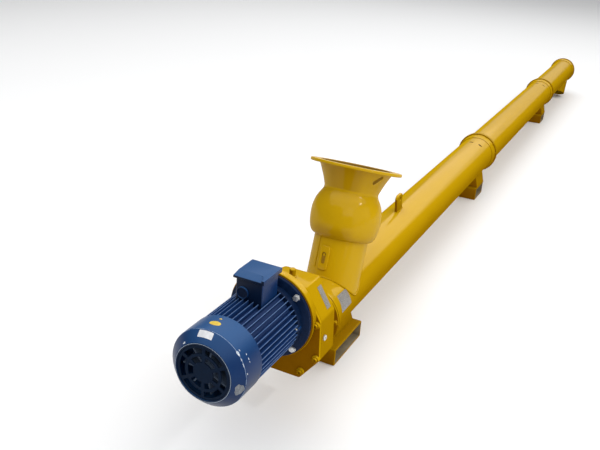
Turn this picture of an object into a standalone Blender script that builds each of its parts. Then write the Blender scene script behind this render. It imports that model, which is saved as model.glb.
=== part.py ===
"""Tubular screw conveyor: three bolted tube sections on welded feet, a leaning ball inlet, a leaning
discharge spout, and a geared motor on the near end.

+X runs along the tube from the motor to the discharge, +Y to the left seen that way, +Z up. The floor is
z = 0, and the inlet's own axis meets the tube's axis above the origin. Metres throughout.
"""

import math

import bmesh
import bpy
from mathutils import Matrix, Vector

# Shared fits: the play between touching pieces, and how round the turned pieces are.
GAP = 0.0003
SIDES = 36
FINE_MERGE = 1e-5
CUT = 0.02

# The tube: a 219 mm pipe whose axis is level.
AXIS_Z = 0.240
TUBE_R = 0.1095
TUBE_WALL = 0.004
DRIVE_X = -0.190
JOINT_XS = (2.410, 4.800)
END_X = 6.250

# Pressed collars with a flat rim, one on each tube end.
RIM_R = 0.127
RIM_THICK = 0.009
NECK_LENGTH = 0.062
NECK_TOP_R = 0.1195
NECK_WALL = 0.0025
GASKET_THICK = 0.003

# Oblong slots in the tube's crown, above each outer foot.
SLOT_SIZE = (0.028, 0.011)
SLOT_TURNS = (math.radians(6), math.radians(-26))
SLOT_BACK = 0.188

# The inlet, measured along its own leaning axis from the tube's axis.
INLET_LEAN = 0.295
SPOUT_R = 0.1056
BALL_S = 0.326
BALL_R = 0.1386
BALL_WALL = 0.004
BALL_TOP_R = 0.104
COLLAR_TOP_R = 0.143
COLLAR_WALL = 0.0045
FLANGE_S = 0.511
FLANGE_THICK = 0.012
FLANGE_R = 0.180
FLANGE_BOLT_R = 0.162
FLANGE_HOLES = 8
FLANGE_HOLE_R = 0.007
COLLAR_SLOT_TURN = math.radians(-116)
COLLAR_SLOT_S = 0.485
COLLAR_SLOT_SIZE = (0.046, 0.020)

# A slotted pad on the side of the inlet spout that faces the motor.
PAD_TURN = math.radians(172)
PAD_S = 0.156
PAD_SIZE = (0.042, 0.098)
PAD_STAND = 0.005
PAD_SLOT_SIZE = (0.046, 0.017)

# The discharge spout leans the same way as the inlet.
DISCHARGE_X = 6.055
DISCHARGE_LEAN = 0.42
DISCHARGE_R = 0.0965
DISCHARGE_WALL = 0.004
DISCHARGE_CLEAR = 0.004

# The screw inside the tube.
SHAFT_R = 0.038
FLIGHT_R = 0.0995
FLIGHT_THICK = 0.004
FLIGHT_PITCH = 0.200
FLIGHT_STEPS = 12
FLIGHT_RUNS = ((-0.160, 12), (2.300, 11), (4.700, 7))

# Feet: a box section that is open to both sides, under a saddle that carries the tube.
FOOT_WALL = 0.006
SADDLE_WALL = 0.005
FOOT_1_X = (-0.112, 0.160)
FOOT_1_HALF = 0.094
FOOT_1_HEIGHT = 0.074
SADDLE_1_X = (-0.106, 0.152)
SADDLE_1_TOP_X = 0.080
SADDLE_1_HALF = 0.056
OUTER_FOOT_XS = ((2.130, 2.315), (4.560, 4.735))
OUTER_FOOT_HALF = 0.090
OUTER_FOOT_HEIGHT = 0.078
OUTER_SADDLE_TOP_HALF = 0.063
SADDLE_STEP = 0.018

# Lifting lug on the tube's crown.
LUG_X = (0.726, 0.826)
LUG_WAIST = (0.804, 0.146)
LUG_CORNERS = ((0.784, 0.174, 0.020), (0.749, 0.173, 0.021))
LUG_EYE = (0.776, 0.168)
LUG_THICK = 0.012
LUG_EYE_R = 0.011

# The gearbox, whose outline was read in the plane across the tube: (y, height over the tube's axis).
GEAR_OUTLINE = (
    (-0.098, 0.262),
    (-0.165, 0.155),
    (-0.173, 0.008),
    (-0.105, -0.082),
    (0.020, -0.082),
    (0.075, 0.005),
    (0.142, 0.085),
    (0.148, 0.185),
    (0.030, 0.262),
)
GEAR_FRONT_X = -0.455
GEAR_REAR_X = -0.350
COVER_THICK = 0.010
COVER_BOSSES = (
    (-0.092, 0.250),
    (-0.1515, 0.142),
    (-0.161, 0.015),
    (-0.109, -0.052),
    (0.017, -0.069),
    (0.066, 0.014),
    (0.129, 0.085),
    (0.137, 0.178),
    (0.027, 0.249),
)
COVER_BOSS_R = 0.0125
COVER_BOSS_HIGH = 0.009
GEAR_BEVEL = 0.004
OUTPUT_R = 0.088
OUTPUT_LENGTH = 0.030
SEAL_R = 0.070
END_PLATE_THICK = 0.008

# The motor sits above the tube's axis.
MOTOR_RISE = 0.155
ADAPTER_R = 0.1565
ADAPTER_RIM = 0.012
ADAPTER_NECK_R = 0.150
MOTOR_FLANGE_X = -0.503
MOTOR_FLANGE_R = 0.150
MOTOR_FLANGE_THICK = 0.014
SHIELD_R = 0.1238
SHIELD_LENGTH = 0.030
FIN_ROOT_R = 0.1065
FIN_TIP_R = 0.1242
FIN_COUNT = 44
FIN_WIDTH = 0.0042
FRAME_REAR_X = -0.800
COWL_X = (-0.912, -0.790)
COWL_RIDGE_X = -0.880
COWL_R = 0.1268
COWL_END_R = 0.0955
COWL_WALL = 0.002
REAR_SHIELD_THICK = 0.014
GRILLE_R = 0.0900
GRILLE_SLOTS = (0.034, 0.062)
GRILLE_SLOT_WIDE = 0.018
GRILLE_SPOKES = 6
GRILLE_SPOKE_WIDE = 0.009
FAN_BLADES = 7
FAN_R = 0.080

# The terminal box on the motor's top, near the flange.
BOX_X = (-0.662, -0.560)
BOX_HALF = 0.047
BOX_FOOT_RISE = 0.102
BOX_TOP_RISE = 0.190
LID_X = (-0.669, -0.551)
LID_HALF = 0.054
LID_THICK = 0.015
GLAND_R = 0.0205
GLAND_LENGTH = 0.006
GLAND_Y = 0.021
GLAND_RISE = 0.144

# Finishes: linear colour, roughness, metallic.
FINISHES = {
    "yellow_paint": ((0.72, 0.42, 0.01), 0.28, 0.0),
    "navy_paint": ((0.012, 0.045, 0.15), 0.35, 0.0),
    "dark_paint": ((0.012, 0.018, 0.030), 0.50, 0.0),
    "black_plastic": ((0.010, 0.010, 0.012), 0.55, 0.0),
    "bare_steel": ((0.30, 0.28, 0.25), 0.45, 1.0),
    "gasket": ((0.06, 0.045, 0.03), 0.80, 0.0),
}


def clear_scene():
    for obj in list(bpy.data.objects):
        bpy.data.objects.remove(obj, do_unlink=True)


def new_collection(name):
    collection = bpy.data.collections.new(name)
    bpy.context.scene.collection.children.link(collection)
    return collection


clear_scene()
PARTS = new_collection("tubular_screw_conveyor")
CUTTERS = new_collection("cutters")
CUTTERS.hide_render = True


def finish(name):
    material = bpy.data.materials.get(name)
    if material is None:
        colour, roughness, metallic = FINISHES[name]
        material = bpy.data.materials.new(name)
        material.use_nodes = True
        shader = material.node_tree.nodes["Principled BSDF"]
        shader.inputs["Base Color"].default_value = (*colour, 1)
        shader.inputs["Roughness"].default_value = roughness
        shader.inputs["Metallic"].default_value = metallic
    return material


def place(name, mesh, coat, matrix):
    """Link a mesh as a named piece; a coat of None makes it a cutter."""
    obj = bpy.data.objects.new(name, mesh)
    obj.matrix_world = matrix
    if coat is None:
        CUTTERS.objects.link(obj)
        obj.hide_render = True
        obj.display_type = "WIRE"
    else:
        PARTS.objects.link(obj)
        obj.data.materials.append(finish(coat))
    return obj


def boolean(obj, other, operation="DIFFERENCE"):
    modifier = obj.modifiers.new(other.name, "BOOLEAN")
    modifier.operation = operation
    modifier.object = other
    modifier.solver = "EXACT"


def bevel(obj, width, segments=1, angle=math.radians(30)):
    modifier = obj.modifiers.new("bevel", "BEVEL")
    modifier.width = width
    modifier.segments = segments
    modifier.limit_method = "ANGLE"
    modifier.angle_limit = angle


def along_x(x=0.0, y=0.0, rise=0.0):
    """Local Z points along the tube, from a point at this height over the tube's axis."""
    return Matrix.Translation((x, y, AXIS_Z + rise)) @ Matrix.Rotation(math.pi / 2, 4, "Y")


def leaning(x, lean):
    """Local Z points up and leans towards the discharge, from the tube's axis."""
    return Matrix.Translation((x, 0, AXIS_Z)) @ Matrix.Rotation(lean, 4, "Y")


def box(name, low, high, coat):
    low, high = Vector(low), Vector(high)
    mesh = bpy.data.meshes.new(name)
    bm = bmesh.new()
    bmesh.ops.create_cube(bm, size=1)
    bmesh.ops.scale(bm, vec=high - low, verts=bm.verts)
    bm.to_mesh(mesh)
    bm.free()
    return place(name, mesh, coat, Matrix.Translation((low + high) / 2))


def cylinder(name, radius, length, matrix, coat, sides=SIDES):
    """A round bar from the matrix's origin along its local Z."""
    mesh = bpy.data.meshes.new(name)
    bm = bmesh.new()
    bmesh.ops.create_cone(
        bm, cap_ends=True, segments=sides, radius1=radius, radius2=radius, depth=length
    )
    bmesh.ops.translate(bm, vec=(0, 0, length / 2), verts=bm.verts)
    bm.to_mesh(mesh)
    bm.free()
    return place(name, mesh, coat, matrix)


def turned(name, profile, matrix, coat, closed=True, steps=SIDES):
    """Spin (radius, height) points about local Z: down the outer side first, and back up the bore."""
    mesh = bpy.data.meshes.new(name)
    bm = bmesh.new()
    points = [bm.verts.new((radius, 0, height)) for radius, height in profile]
    pairs = list(zip(points, points[1:]))
    if closed:
        pairs.append((points[-1], points[0]))
    for pair in pairs:
        bm.edges.new(pair)
    bm.to_mesh(mesh)
    bm.free()
    obj = place(name, mesh, coat, matrix)
    spin = obj.modifiers.new("spin", "SCREW")
    spin.axis = "Z"
    spin.steps = spin.render_steps = steps
    spin.use_merge_vertices = True
    spin.merge_threshold = FINE_MERGE
    return obj


def outline(name, points, low, high, matrix, coat):
    """A flat outline in local XY that is as thick as local Z runs from low to high, as a welded mesh."""
    curve = bpy.data.curves.new(name, "CURVE")
    curve.dimensions = "2D"
    curve.fill_mode = "BOTH"
    curve.extrude = (high - low) / 2
    spline = curve.splines.new("POLY")
    spline.points.add(len(points) - 1)
    for point, (x, y) in zip(spline.points, points):
        point.co = (x, y, 0, 1)
    spline.use_cyclic_u = True
    middle = matrix @ Matrix.Translation((0, 0, (low + high) / 2))
    flat = place(name + "_outline", curve, None, middle)
    bpy.context.view_layer.update()
    graph = bpy.context.evaluated_depsgraph_get()
    mesh = bpy.data.meshes.new_from_object(flat.evaluated_get(graph))
    bpy.data.objects.remove(flat, do_unlink=True)
    bm = bmesh.new()
    bm.from_mesh(mesh)
    bmesh.ops.remove_doubles(bm, verts=bm.verts, dist=FINE_MERGE)
    bmesh.ops.recalc_face_normals(bm, faces=bm.faces)
    bm.to_mesh(mesh)
    bm.free()
    mesh.materials.clear()
    return place(name, mesh, coat, middle)


def arc(centre, radius, start, end, steps):
    """Points on a circle, both ends included."""
    turn = (end - start) / steps
    return [
        (
            centre[0] + radius * math.cos(start + turn * i),
            centre[1] + radius * math.sin(start + turn * i),
        )
        for i in range(steps + 1)
    ]


def stadium(length, width, steps=5):
    """An oblong slot's outline, its length along local X."""
    reach = (length - width) / 2
    right = arc((reach, 0), width / 2, -math.pi / 2, math.pi / 2, steps)
    left = arc((-reach, 0), width / 2, math.pi / 2, 3 * math.pi / 2, steps)
    return right + left


def tube_hull(name, grow=GAP):
    """The whole tube's outer surface, as a cutter for what is welded on it."""
    start = DRIVE_X - CUT
    return cylinder(
        name, TUBE_R + grow, END_X - start + CUT, along_x(start), None
    )


def tube_section(name, start, end):
    inner = TUBE_R - TUBE_WALL
    length = end - start
    profile = ((TUBE_R, length), (TUBE_R, 0), (inner, 0), (inner, length))
    return turned(name, profile, along_x(start), "yellow_paint")


def collar_profile(length):
    """A pressed neck that swells from the tube to a flat rim; height 0 is the rim's outer face."""
    bore = TUBE_R + GAP
    swell = [
        (
            bore + NECK_WALL + (NECK_TOP_R - bore - NECK_WALL) * (1 - i / 2) ** 2,
            -RIM_THICK - (length - RIM_THICK) * i / 2,
        )
        for i in range(3)
    ]
    return [(RIM_R, 0), (RIM_R, -RIM_THICK), *swell, (bore, -length), (bore, 0)]


def rim_collar(name, x, faces_forward):
    """A pressed collar whose rim face is at x and looks forward or back along the tube."""
    matrix = along_x(x)
    if not faces_forward:
        matrix = matrix @ Matrix.Rotation(math.pi, 4, "X")
    return turned(name, collar_profile(NECK_LENGTH), matrix, "yellow_paint")


def crown_slots(tube, foot_x, label):
    """Two oblong slots through the top of the tube, over the middle of a foot."""
    for index, turn in enumerate(SLOT_TURNS):
        matrix = (
            Matrix.Translation((foot_x, 0, AXIS_Z))
            @ Matrix.Rotation(-turn, 4, "X")
            @ Matrix.Rotation(math.pi / 2, 4, "Z")
        )
        cutter = outline(
            f"{label}_slot_{index + 1}",
            stadium(*SLOT_SIZE),
            TUBE_R - CUT,
            TUBE_R + CUT,
            matrix,
            None,
        )
        boolean(tube, cutter)


def build_tube():
    edges = (DRIVE_X, *JOINT_XS, END_X)
    sections = [
        tube_section(f"tube_section_{i + 1}", edges[i] + GAP / 2, edges[i + 1] - GAP / 2)
        for i in range(3)
    ]
    inlet_bore = SPOUT_R - BALL_WALL
    boolean(
        sections[0],
        cylinder("inlet_hole", inlet_bore, BALL_S, leaning(0, INLET_LEAN), None),
    )
    outlet = leaning(DISCHARGE_X, math.pi + DISCHARGE_LEAN)
    boolean(
        sections[2],
        cylinder(
            "discharge_hole", DISCHARGE_R - DISCHARGE_WALL, 2 * TUBE_R, outlet, None
        ),
    )
    for index, joint in enumerate(JOINT_XS):
        crown_slots(sections[index], joint - SLOT_BACK, f"joint_{index + 1}")
        rim_collar(f"joint_{index + 1}_near_flange", joint - GASKET_THICK / 2 - GAP, True)
        rim_collar(f"joint_{index + 1}_far_flange", joint + GASKET_THICK / 2 + GAP, False)
        half = GASKET_THICK / 2
        ring = (
            (RIM_R - 0.001, half),
            (RIM_R - 0.001, -half),
            (TUBE_R + GAP, -half),
            (TUBE_R + GAP, half),
        )
        turned(f"joint_{index + 1}_gasket", ring, along_x(joint), "gasket")
    rim_collar("drive_end_flange", DRIVE_X, False)
    rim_collar("discharge_end_flange", END_X, True)


def build_end_plates():
    """The plates that close the tube, with the seal at the drive end and the bearing at the far end."""
    bore = SHAFT_R + GAP
    plate = (
        (RIM_R - 0.001, -GAP),
        (RIM_R - 0.001, -END_PLATE_THICK),
        (bore, -END_PLATE_THICK),
        (bore, -GAP),
    )
    turned("drive_end_plate", plate, along_x(DRIVE_X), "yellow_paint")
    seal_start = GEAR_REAR_X + OUTPUT_LENGTH + GAP
    seal_length = DRIVE_X - END_PLATE_THICK - GAP - seal_start
    seal = ((SEAL_R, seal_length), (SEAL_R, 0), (bore, 0), (bore, seal_length))
    turned("seal_housing", seal, along_x(seal_start), "yellow_paint")
    cover = (
        (RIM_R - 0.001, END_PLATE_THICK),
        (RIM_R - 0.001, GAP),
        (bore, GAP),
        (bore, END_PLATE_THICK),
    )
    turned("discharge_end_plate", cover, along_x(END_X), "yellow_paint")
    bearing = (
        (0, 0.062),
        (0.050, 0.062),
        (0.050, 0.014),
        (0.070, 0.014),
        (0.070, 0),
        (bore, 0),
        (bore, 0.048),
        (0, 0.048),
    )
    turned(
        "end_bearing", bearing, along_x(END_X + END_PLATE_THICK + GAP), "yellow_paint", closed=False
    )


def build_inlet():
    axis = leaning(0, INLET_LEAN)
    bottom = BALL_S - math.sqrt(BALL_R**2 - SPOUT_R**2)
    top = BALL_S + math.sqrt(BALL_R**2 - BALL_TOP_R**2)
    inner = SPOUT_R - BALL_WALL
    spout = turned(
        "inlet_spout",
        ((SPOUT_R, bottom - GAP), (SPOUT_R, 0), (inner, 0), (inner, bottom - GAP)),
        axis,
        "yellow_paint",
    )
    boolean(spout, tube_hull("tube_under_inlet"))

    def side(radius, share):
        """The upper half is round; below the middle a fuller curve turns in square to the spout."""
        if share >= 0:
            angle = share * math.asin((top - BALL_S) / radius)
            return radius * math.cos(angle), BALL_S + radius * math.sin(angle)
        angle, power = -share * math.pi / 2, 2 / 2.4
        low = radius - BALL_R + SPOUT_R
        across = max(math.cos(angle), 0) ** power
        return low + (radius - low) * across, BALL_S - (BALL_S - bottom) * math.sin(angle) ** power

    ball = [side(BALL_R, 1 - i / 5) for i in range(11)]
    ball += [side(BALL_R - BALL_WALL, i / 3 - 1) for i in range(7)]
    turned("inlet_ball", ball, axis, "yellow_paint")

    collar_low = top + GAP
    collar_high = FLANGE_S - GAP
    collar = turned(
        "inlet_collar",
        (
            (COLLAR_TOP_R, collar_high),
            (BALL_TOP_R, collar_low),
            (BALL_TOP_R - COLLAR_WALL, collar_low),
            (COLLAR_TOP_R - COLLAR_WALL, collar_high),
        ),
        axis,
        "yellow_paint",
    )
    slot_axis = (
        axis
        @ Matrix.Translation((0, 0, COLLAR_SLOT_S))
        @ Matrix.Rotation(COLLAR_SLOT_TURN, 4, "Z")
        @ Matrix.Rotation(math.pi / 2, 4, "Y")
        @ Matrix.Rotation(-math.pi / 4, 4, "Z")
    )
    slot = outline(
        "collar_slot", stadium(*COLLAR_SLOT_SIZE), BALL_TOP_R, FLANGE_R, slot_axis, None
    )
    boolean(collar, slot)

    flange_top = FLANGE_S + FLANGE_THICK
    bore = COLLAR_TOP_R - COLLAR_WALL
    flange = turned(
        "inlet_flange",
        ((FLANGE_R, flange_top), (FLANGE_R, FLANGE_S), (bore, FLANGE_S), (bore, flange_top)),
        axis,
        "yellow_paint",
    )
    for index in range(FLANGE_HOLES):
        turn = 2 * math.pi * (index + 0.5) / FLANGE_HOLES
        hole = (
            axis
            @ Matrix.Rotation(turn, 4, "Z")
            @ Matrix.Translation((FLANGE_BOLT_R, 0, FLANGE_S - CUT))
        )
        boolean(
            flange,
            cylinder(
                f"flange_hole_{index + 1}", FLANGE_HOLE_R, 3 * CUT, hole, None, sides=12
            ),
        )


def build_spout_pad():
    """A flat pad on the round spout, with an oblong slot through it."""
    face = SPOUT_R + PAD_STAND
    matrix = (
        leaning(0, INLET_LEAN)
        @ Matrix.Translation((0, 0, PAD_S))
        @ Matrix.Rotation(PAD_TURN, 4, "Z")
        @ Matrix.Rotation(math.pi / 2, 4, "Y")
    )
    width, height = PAD_SIZE
    corners = ((-height / 2, -width / 2), (height / 2, -width / 2),
               (height / 2, width / 2), (-height / 2, width / 2))
    pad = outline("spout_pad", corners, face - 0.010, face, matrix, "yellow_paint")
    start = leaning(0, INLET_LEAN)
    boolean(pad, cylinder("spout_behind_pad", SPOUT_R + GAP, BALL_S, start, None))
    slot = outline(
        "pad_slot", stadium(*PAD_SLOT_SIZE), face - CUT, face + CUT, matrix, None
    )
    boolean(pad, slot)


def build_discharge():
    """A square-cut spout, as long as it can be without reaching the floor."""
    drop = AXIS_Z - DISCHARGE_CLEAR - DISCHARGE_R * math.sin(DISCHARGE_LEAN)
    length = drop / math.cos(DISCHARGE_LEAN)
    inner = DISCHARGE_R - DISCHARGE_WALL
    spout = turned(
        "discharge_spout",
        ((DISCHARGE_R, length), (DISCHARGE_R, 0), (inner, 0), (inner, length)),
        leaning(DISCHARGE_X, math.pi + DISCHARGE_LEAN),
        "yellow_paint",
    )
    boolean(spout, tube_hull("tube_over_discharge"))


def build_screw():
    cylinder(
        "screw_shaft",
        SHAFT_R,
        END_X + END_PLATE_THICK + 0.046 - GEAR_REAR_X - OUTPUT_LENGTH - GAP,
        along_x(GEAR_REAR_X + OUTPUT_LENGTH + GAP),
        "bare_steel",
    )
    inner = (SHAFT_R + GAP) / math.cos(math.pi / FLIGHT_STEPS)
    for index, (start, turns) in enumerate(FLIGHT_RUNS):
        flight = turned(
            f"screw_flight_{index + 1}",
            ((FLIGHT_R, 0), (inner, 0)),
            along_x(start),
            "bare_steel",
            closed=False,
            steps=FLIGHT_STEPS,
        )
        spin = flight.modifiers["spin"]
        spin.screw_offset = FLIGHT_PITCH
        spin.iterations = turns
        spin.use_merge_vertices = False
        wall = flight.modifiers.new("thickness", "SOLIDIFY")
        wall.thickness = FLIGHT_THICK
        wall.offset = 0


def foot_box(name, span, half, height):
    foot = box(name, (span[0], -half, 0), (span[1], half, height), "yellow_paint")
    hollow = box(
        name + "_hollow",
        (span[0] + FOOT_WALL, -half - CUT, FOOT_WALL),
        (span[1] - FOOT_WALL, half + CUT, height - FOOT_WALL),
        None,
    )
    boolean(foot, hollow)


def end_plane(x):
    """Local X is the conveyor's Y, local Y is up from the floor, local Z runs along the tube from x."""
    return Matrix.Translation((x, 0, 0)) @ Matrix(
        ((0, 0, 1, 0), (1, 0, 0, 0), (0, 1, 0, 0), (0, 0, 0, 1))
    )


def splayed_saddle(name, span, half, top_half, base):
    """Two end webs and two side plates that draw in from the box's edges to the tube."""
    rise = AXIS_Z - base
    slope = (half - top_half) / (rise - TUBE_R / 2)
    wall = SADDLE_WALL
    plane = end_plane(span[0])
    length = span[1] - span[0]

    def section(inset, below, above):
        foot = half - inset + slope * below
        head = half - inset - slope * (rise + above)
        return (
            (-foot, base - below),
            (foot, base - below),
            (head, AXIS_Z + above),
            (-head, AXIS_Z + above),
        )

    block = outline(name, section(0, -GAP, 0), 0, length, plane, "yellow_paint")
    inside = section(wall, CUT, CUT)
    boolean(block, outline(name + "_hollow", inside, wall, length - wall, plane, None))
    boolean(block, tube_hull(name + "_tube"))


def upright_saddle(name, base):
    """The first foot's saddle, with upright side plates that are cut back towards the tube."""
    plane = Matrix.Rotation(math.pi / 2, 4, "X")
    top = AXIS_Z - TUBE_R / 2
    wall = SADDLE_WALL
    near, far = SADDLE_1_X
    far_top = SADDLE_1_TOP_X
    lean = (far - far_top) / (top - base)
    shape = ((near, base + GAP), (far, base + GAP), (far_top, top), (near, top))
    half = SADDLE_1_HALF
    block = outline(name, shape, -half, half, plane, "yellow_paint")
    inside = (
        (near + wall, base - CUT),
        (far - wall + lean * CUT, base - CUT),
        (far_top - wall - lean * CUT, top + CUT),
        (near + wall, top + CUT),
    )
    boolean(block, outline(name + "_hollow", inside, wall - half, half - wall, plane, None))
    boolean(block, tube_hull(name + "_tube"))


def build_feet():
    foot_box("foot_1_box", FOOT_1_X, FOOT_1_HALF, FOOT_1_HEIGHT)
    upright_saddle("foot_1_saddle", FOOT_1_HEIGHT)
    for index, (near, far) in enumerate(OUTER_FOOT_XS):
        name = f"foot_{index + 2}"
        foot_box(name + "_box", (near, far), OUTER_FOOT_HALF, OUTER_FOOT_HEIGHT)
        splayed_saddle(
            name + "_saddle",
            (near + SADDLE_STEP, far),
            OUTER_FOOT_HALF,
            OUTER_SADDLE_TOP_HALF,
            OUTER_FOOT_HEIGHT,
        )


def build_lug():
    """A plate on edge, with a rounded top and an eye."""
    base = math.sqrt(TUBE_R**2 - (LUG_THICK / 2) ** 2) - 0.004
    top = []
    for index, (x, z, radius) in enumerate(LUG_CORNERS):
        start = index * math.pi / 2
        top += arc((x, z), radius, start, start + math.pi / 2, 4)
    points = [(LUG_X[0], base), (LUG_X[1], base), LUG_WAIST, *top]
    matrix = Matrix.Translation((0, 0, AXIS_Z)) @ Matrix.Rotation(math.pi / 2, 4, "X")
    lug = outline("lifting_lug", points, -LUG_THICK / 2, LUG_THICK / 2, matrix, "yellow_paint")
    boolean(lug, tube_hull("tube_under_lug"))
    eye = matrix @ Matrix.Translation((*LUG_EYE, -CUT))
    boolean(lug, cylinder("lug_eye", LUG_EYE_R, 2 * CUT, eye, None, sides=16))


def gear_plane():
    """As end_plane, from the tube's axis."""
    return Matrix.Translation((0, 0, AXIS_Z)) @ end_plane(0)


def build_gearbox():
    plane = gear_plane()
    housing = outline(
        "gearbox_housing", GEAR_OUTLINE, GEAR_FRONT_X, GEAR_REAR_X, plane, "yellow_paint"
    )
    bevel(housing, GEAR_BEVEL)
    boss = cylinder(
        "output_boss", OUTPUT_R, OUTPUT_LENGTH + CUT, along_x(GEAR_REAR_X - CUT), None
    )
    boolean(housing, boss, "UNION")
    front = GEAR_FRONT_X - GAP
    cover = outline(
        "gearbox_cover", GEAR_OUTLINE, front - COVER_THICK, front, plane, "yellow_paint"
    )
    for index, (y, z) in enumerate(COVER_BOSSES):
        matrix = along_x(front - COVER_THICK - COVER_BOSS_HIGH, y, z)
        length = COVER_BOSS_HIGH + COVER_THICK / 2
        stud = cylinder(f"cover_boss_{index + 1}", COVER_BOSS_R, length, matrix, None, sides=12)
        boolean(cover, stud, "UNION")
    upright = Matrix.Translation((-0.420, -0.029, AXIS_Z + GEAR_OUTLINE[0][1] + GAP))
    turned(
        "filler_plug",
        ((0, 0.034), (0.009, 0.034), (0.011, 0.031), (0.011, 0.008), (0.014, 0.008), (0.014, 0), (0, 0)),
        upright,
        "yellow_paint",
        closed=False,
        steps=20,
    )
    side = Matrix.Translation((-0.433, -0.1697, AXIS_Z + 0.084)) @ Matrix.Rotation(
        math.pi / 2, 4, "X"
    )
    cylinder("level_plug", 0.010, 0.006, side, "bare_steel", sides=20)


def build_adapter():
    """The round casting between the gearbox cover and the motor's flange."""
    start = MOTOR_FLANGE_X + GAP
    end = GEAR_FRONT_X - COVER_THICK - 2 * GAP
    length = end - start
    profile = (
        (0, length),
        (ADAPTER_NECK_R, length),
        (ADAPTER_NECK_R, ADAPTER_RIM),
        (ADAPTER_R, ADAPTER_RIM),
        (ADAPTER_R, 0),
        (0, 0),
    )
    adapter = turned(
        "motor_adapter", profile, along_x(start, rise=MOTOR_RISE), "yellow_paint", closed=False
    )
    for index, (y, z) in enumerate(COVER_BOSSES):
        near = along_x(GEAR_FRONT_X - COVER_THICK - COVER_BOSS_HIGH - 0.002, y, z)
        if math.hypot(y, z - MOTOR_RISE) < ADAPTER_R:
            boolean(
                adapter,
                cylinder(f"boss_room_{index + 1}", COVER_BOSS_R + 0.002, CUT, near, None, sides=16),
            )


def finned_outline():
    """Straight cooling ribs round the motor's barrel, with a wider pad at each diagonal."""
    points = []
    for index in range(FIN_COUNT):
        turn = 2 * math.pi * index / FIN_COUNT
        wide = FIN_WIDTH
        if abs(math.sin(2 * turn)) > 0.99:
            wide = 3.4 * FIN_WIDTH
        root, tip = wide / FIN_ROOT_R / 1.6, wide / FIN_TIP_R / 2
        for radius, offset in (
            (FIN_ROOT_R, -root),
            (FIN_TIP_R, -tip),
            (FIN_TIP_R, tip),
            (FIN_ROOT_R, root),
        ):
            points.append((radius * math.cos(turn + offset), radius * math.sin(turn + offset)))
    return points


def build_motor():
    centre = MOTOR_RISE
    flange_back = MOTOR_FLANGE_X - MOTOR_FLANGE_THICK
    frame_front = flange_back - SHIELD_LENGTH
    turned(
        "motor_flange",
        (
            (0, 0),
            (MOTOR_FLANGE_R, 0),
            (MOTOR_FLANGE_R, -MOTOR_FLANGE_THICK),
            (SHIELD_R, -MOTOR_FLANGE_THICK - 0.004),
            (SHIELD_R, -MOTOR_FLANGE_THICK - SHIELD_LENGTH),
            (0, -MOTOR_FLANGE_THICK - SHIELD_LENGTH),
        ),
        along_x(MOTOR_FLANGE_X, rise=centre),
        "navy_paint",
        closed=False,
    )
    turn = gear_plane() @ Matrix.Translation((0, centre, 0)) @ Matrix.Rotation(math.pi / 2, 4, "Z")
    frame = outline(
        "motor_frame", finned_outline(), FRAME_REAR_X, frame_front - GAP, turn, "navy_paint"
    )
    base = AXIS_Z + centre + BOX_FOOT_RISE
    seat = box(
        "terminal_box_seat",
        (BOX_X[0] - GAP, -BOX_HALF - GAP, base - GAP),
        (BOX_X[1] + GAP, BOX_HALF + GAP, base + 0.1),
        None,
    )
    boolean(frame, seat)
    rear = FRAME_REAR_X - GAP
    turned(
        "motor_rear_shield",
        (
            (0, 0),
            (COWL_R - COWL_WALL - GAP, 0),
            (COWL_R - COWL_WALL - GAP, -REAR_SHIELD_THICK),
            (0.030, -REAR_SHIELD_THICK),
            (0.030, -REAR_SHIELD_THICK - 0.008),
            (0, -REAR_SHIELD_THICK - 0.008),
        ),
        along_x(rear, rise=centre),
        "navy_paint",
        closed=False,
    )


def fan_outline():
    points = []
    for index in range(FAN_BLADES):
        turn = 2 * math.pi * index / FAN_BLADES
        for radius, offset in ((0.028, -0.10), (FAN_R, -0.03), (FAN_R, 0.03), (0.028, 0.10)):
            points.append((radius * math.cos(turn + offset), radius * math.sin(turn + offset)))
    return points


def build_fan_end():
    centre = MOTOR_RISE
    start = COWL_X[0]
    length = COWL_X[1] - start
    ridge = COWL_RIDGE_X - start
    lip = GRILLE_R + GAP
    cowl = (
        (COWL_R, length),
        (COWL_R, ridge),
        (COWL_END_R, 0),
        (lip, 0),
        (lip, 0.006),
        (COWL_END_R - 0.003, 0.006),
        (COWL_R - COWL_WALL, ridge + 0.002),
        (COWL_R - COWL_WALL, length),
    )
    turned("fan_cowl", cowl, along_x(start, rise=centre), "navy_paint")
    plane = gear_plane() @ Matrix.Translation((0, centre, 0))
    grille = cylinder(
        "fan_grille", GRILLE_R, 0.003, along_x(start + 0.002, rise=centre), "dark_paint"
    )
    for ring in GRILLE_SLOTS:
        for index in range(GRILLE_SPOKES):
            share = 2 * math.pi / GRILLE_SPOKES
            half = share / 2 - GRILLE_SPOKE_WIDE / 2 / ring
            middle = share * (index + 0.5)
            outer = arc((0, 0), ring + GRILLE_SLOT_WIDE, middle - half, middle + half, 3)
            inner = arc((0, 0), ring, middle + half, middle - half, 3)
            cutter = outline(
                f"grille_slot_{round(ring * 1000)}_{index + 1}",
                outer + inner,
                start - CUT,
                start + CUT,
                plane,
                None,
            )
            boolean(grille, cutter)
    rear = FRAME_REAR_X - 2 * GAP - REAR_SHIELD_THICK - 0.008
    outline("cooling_fan", fan_outline(), start + 0.020, rear, plane, "black_plastic")


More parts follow.
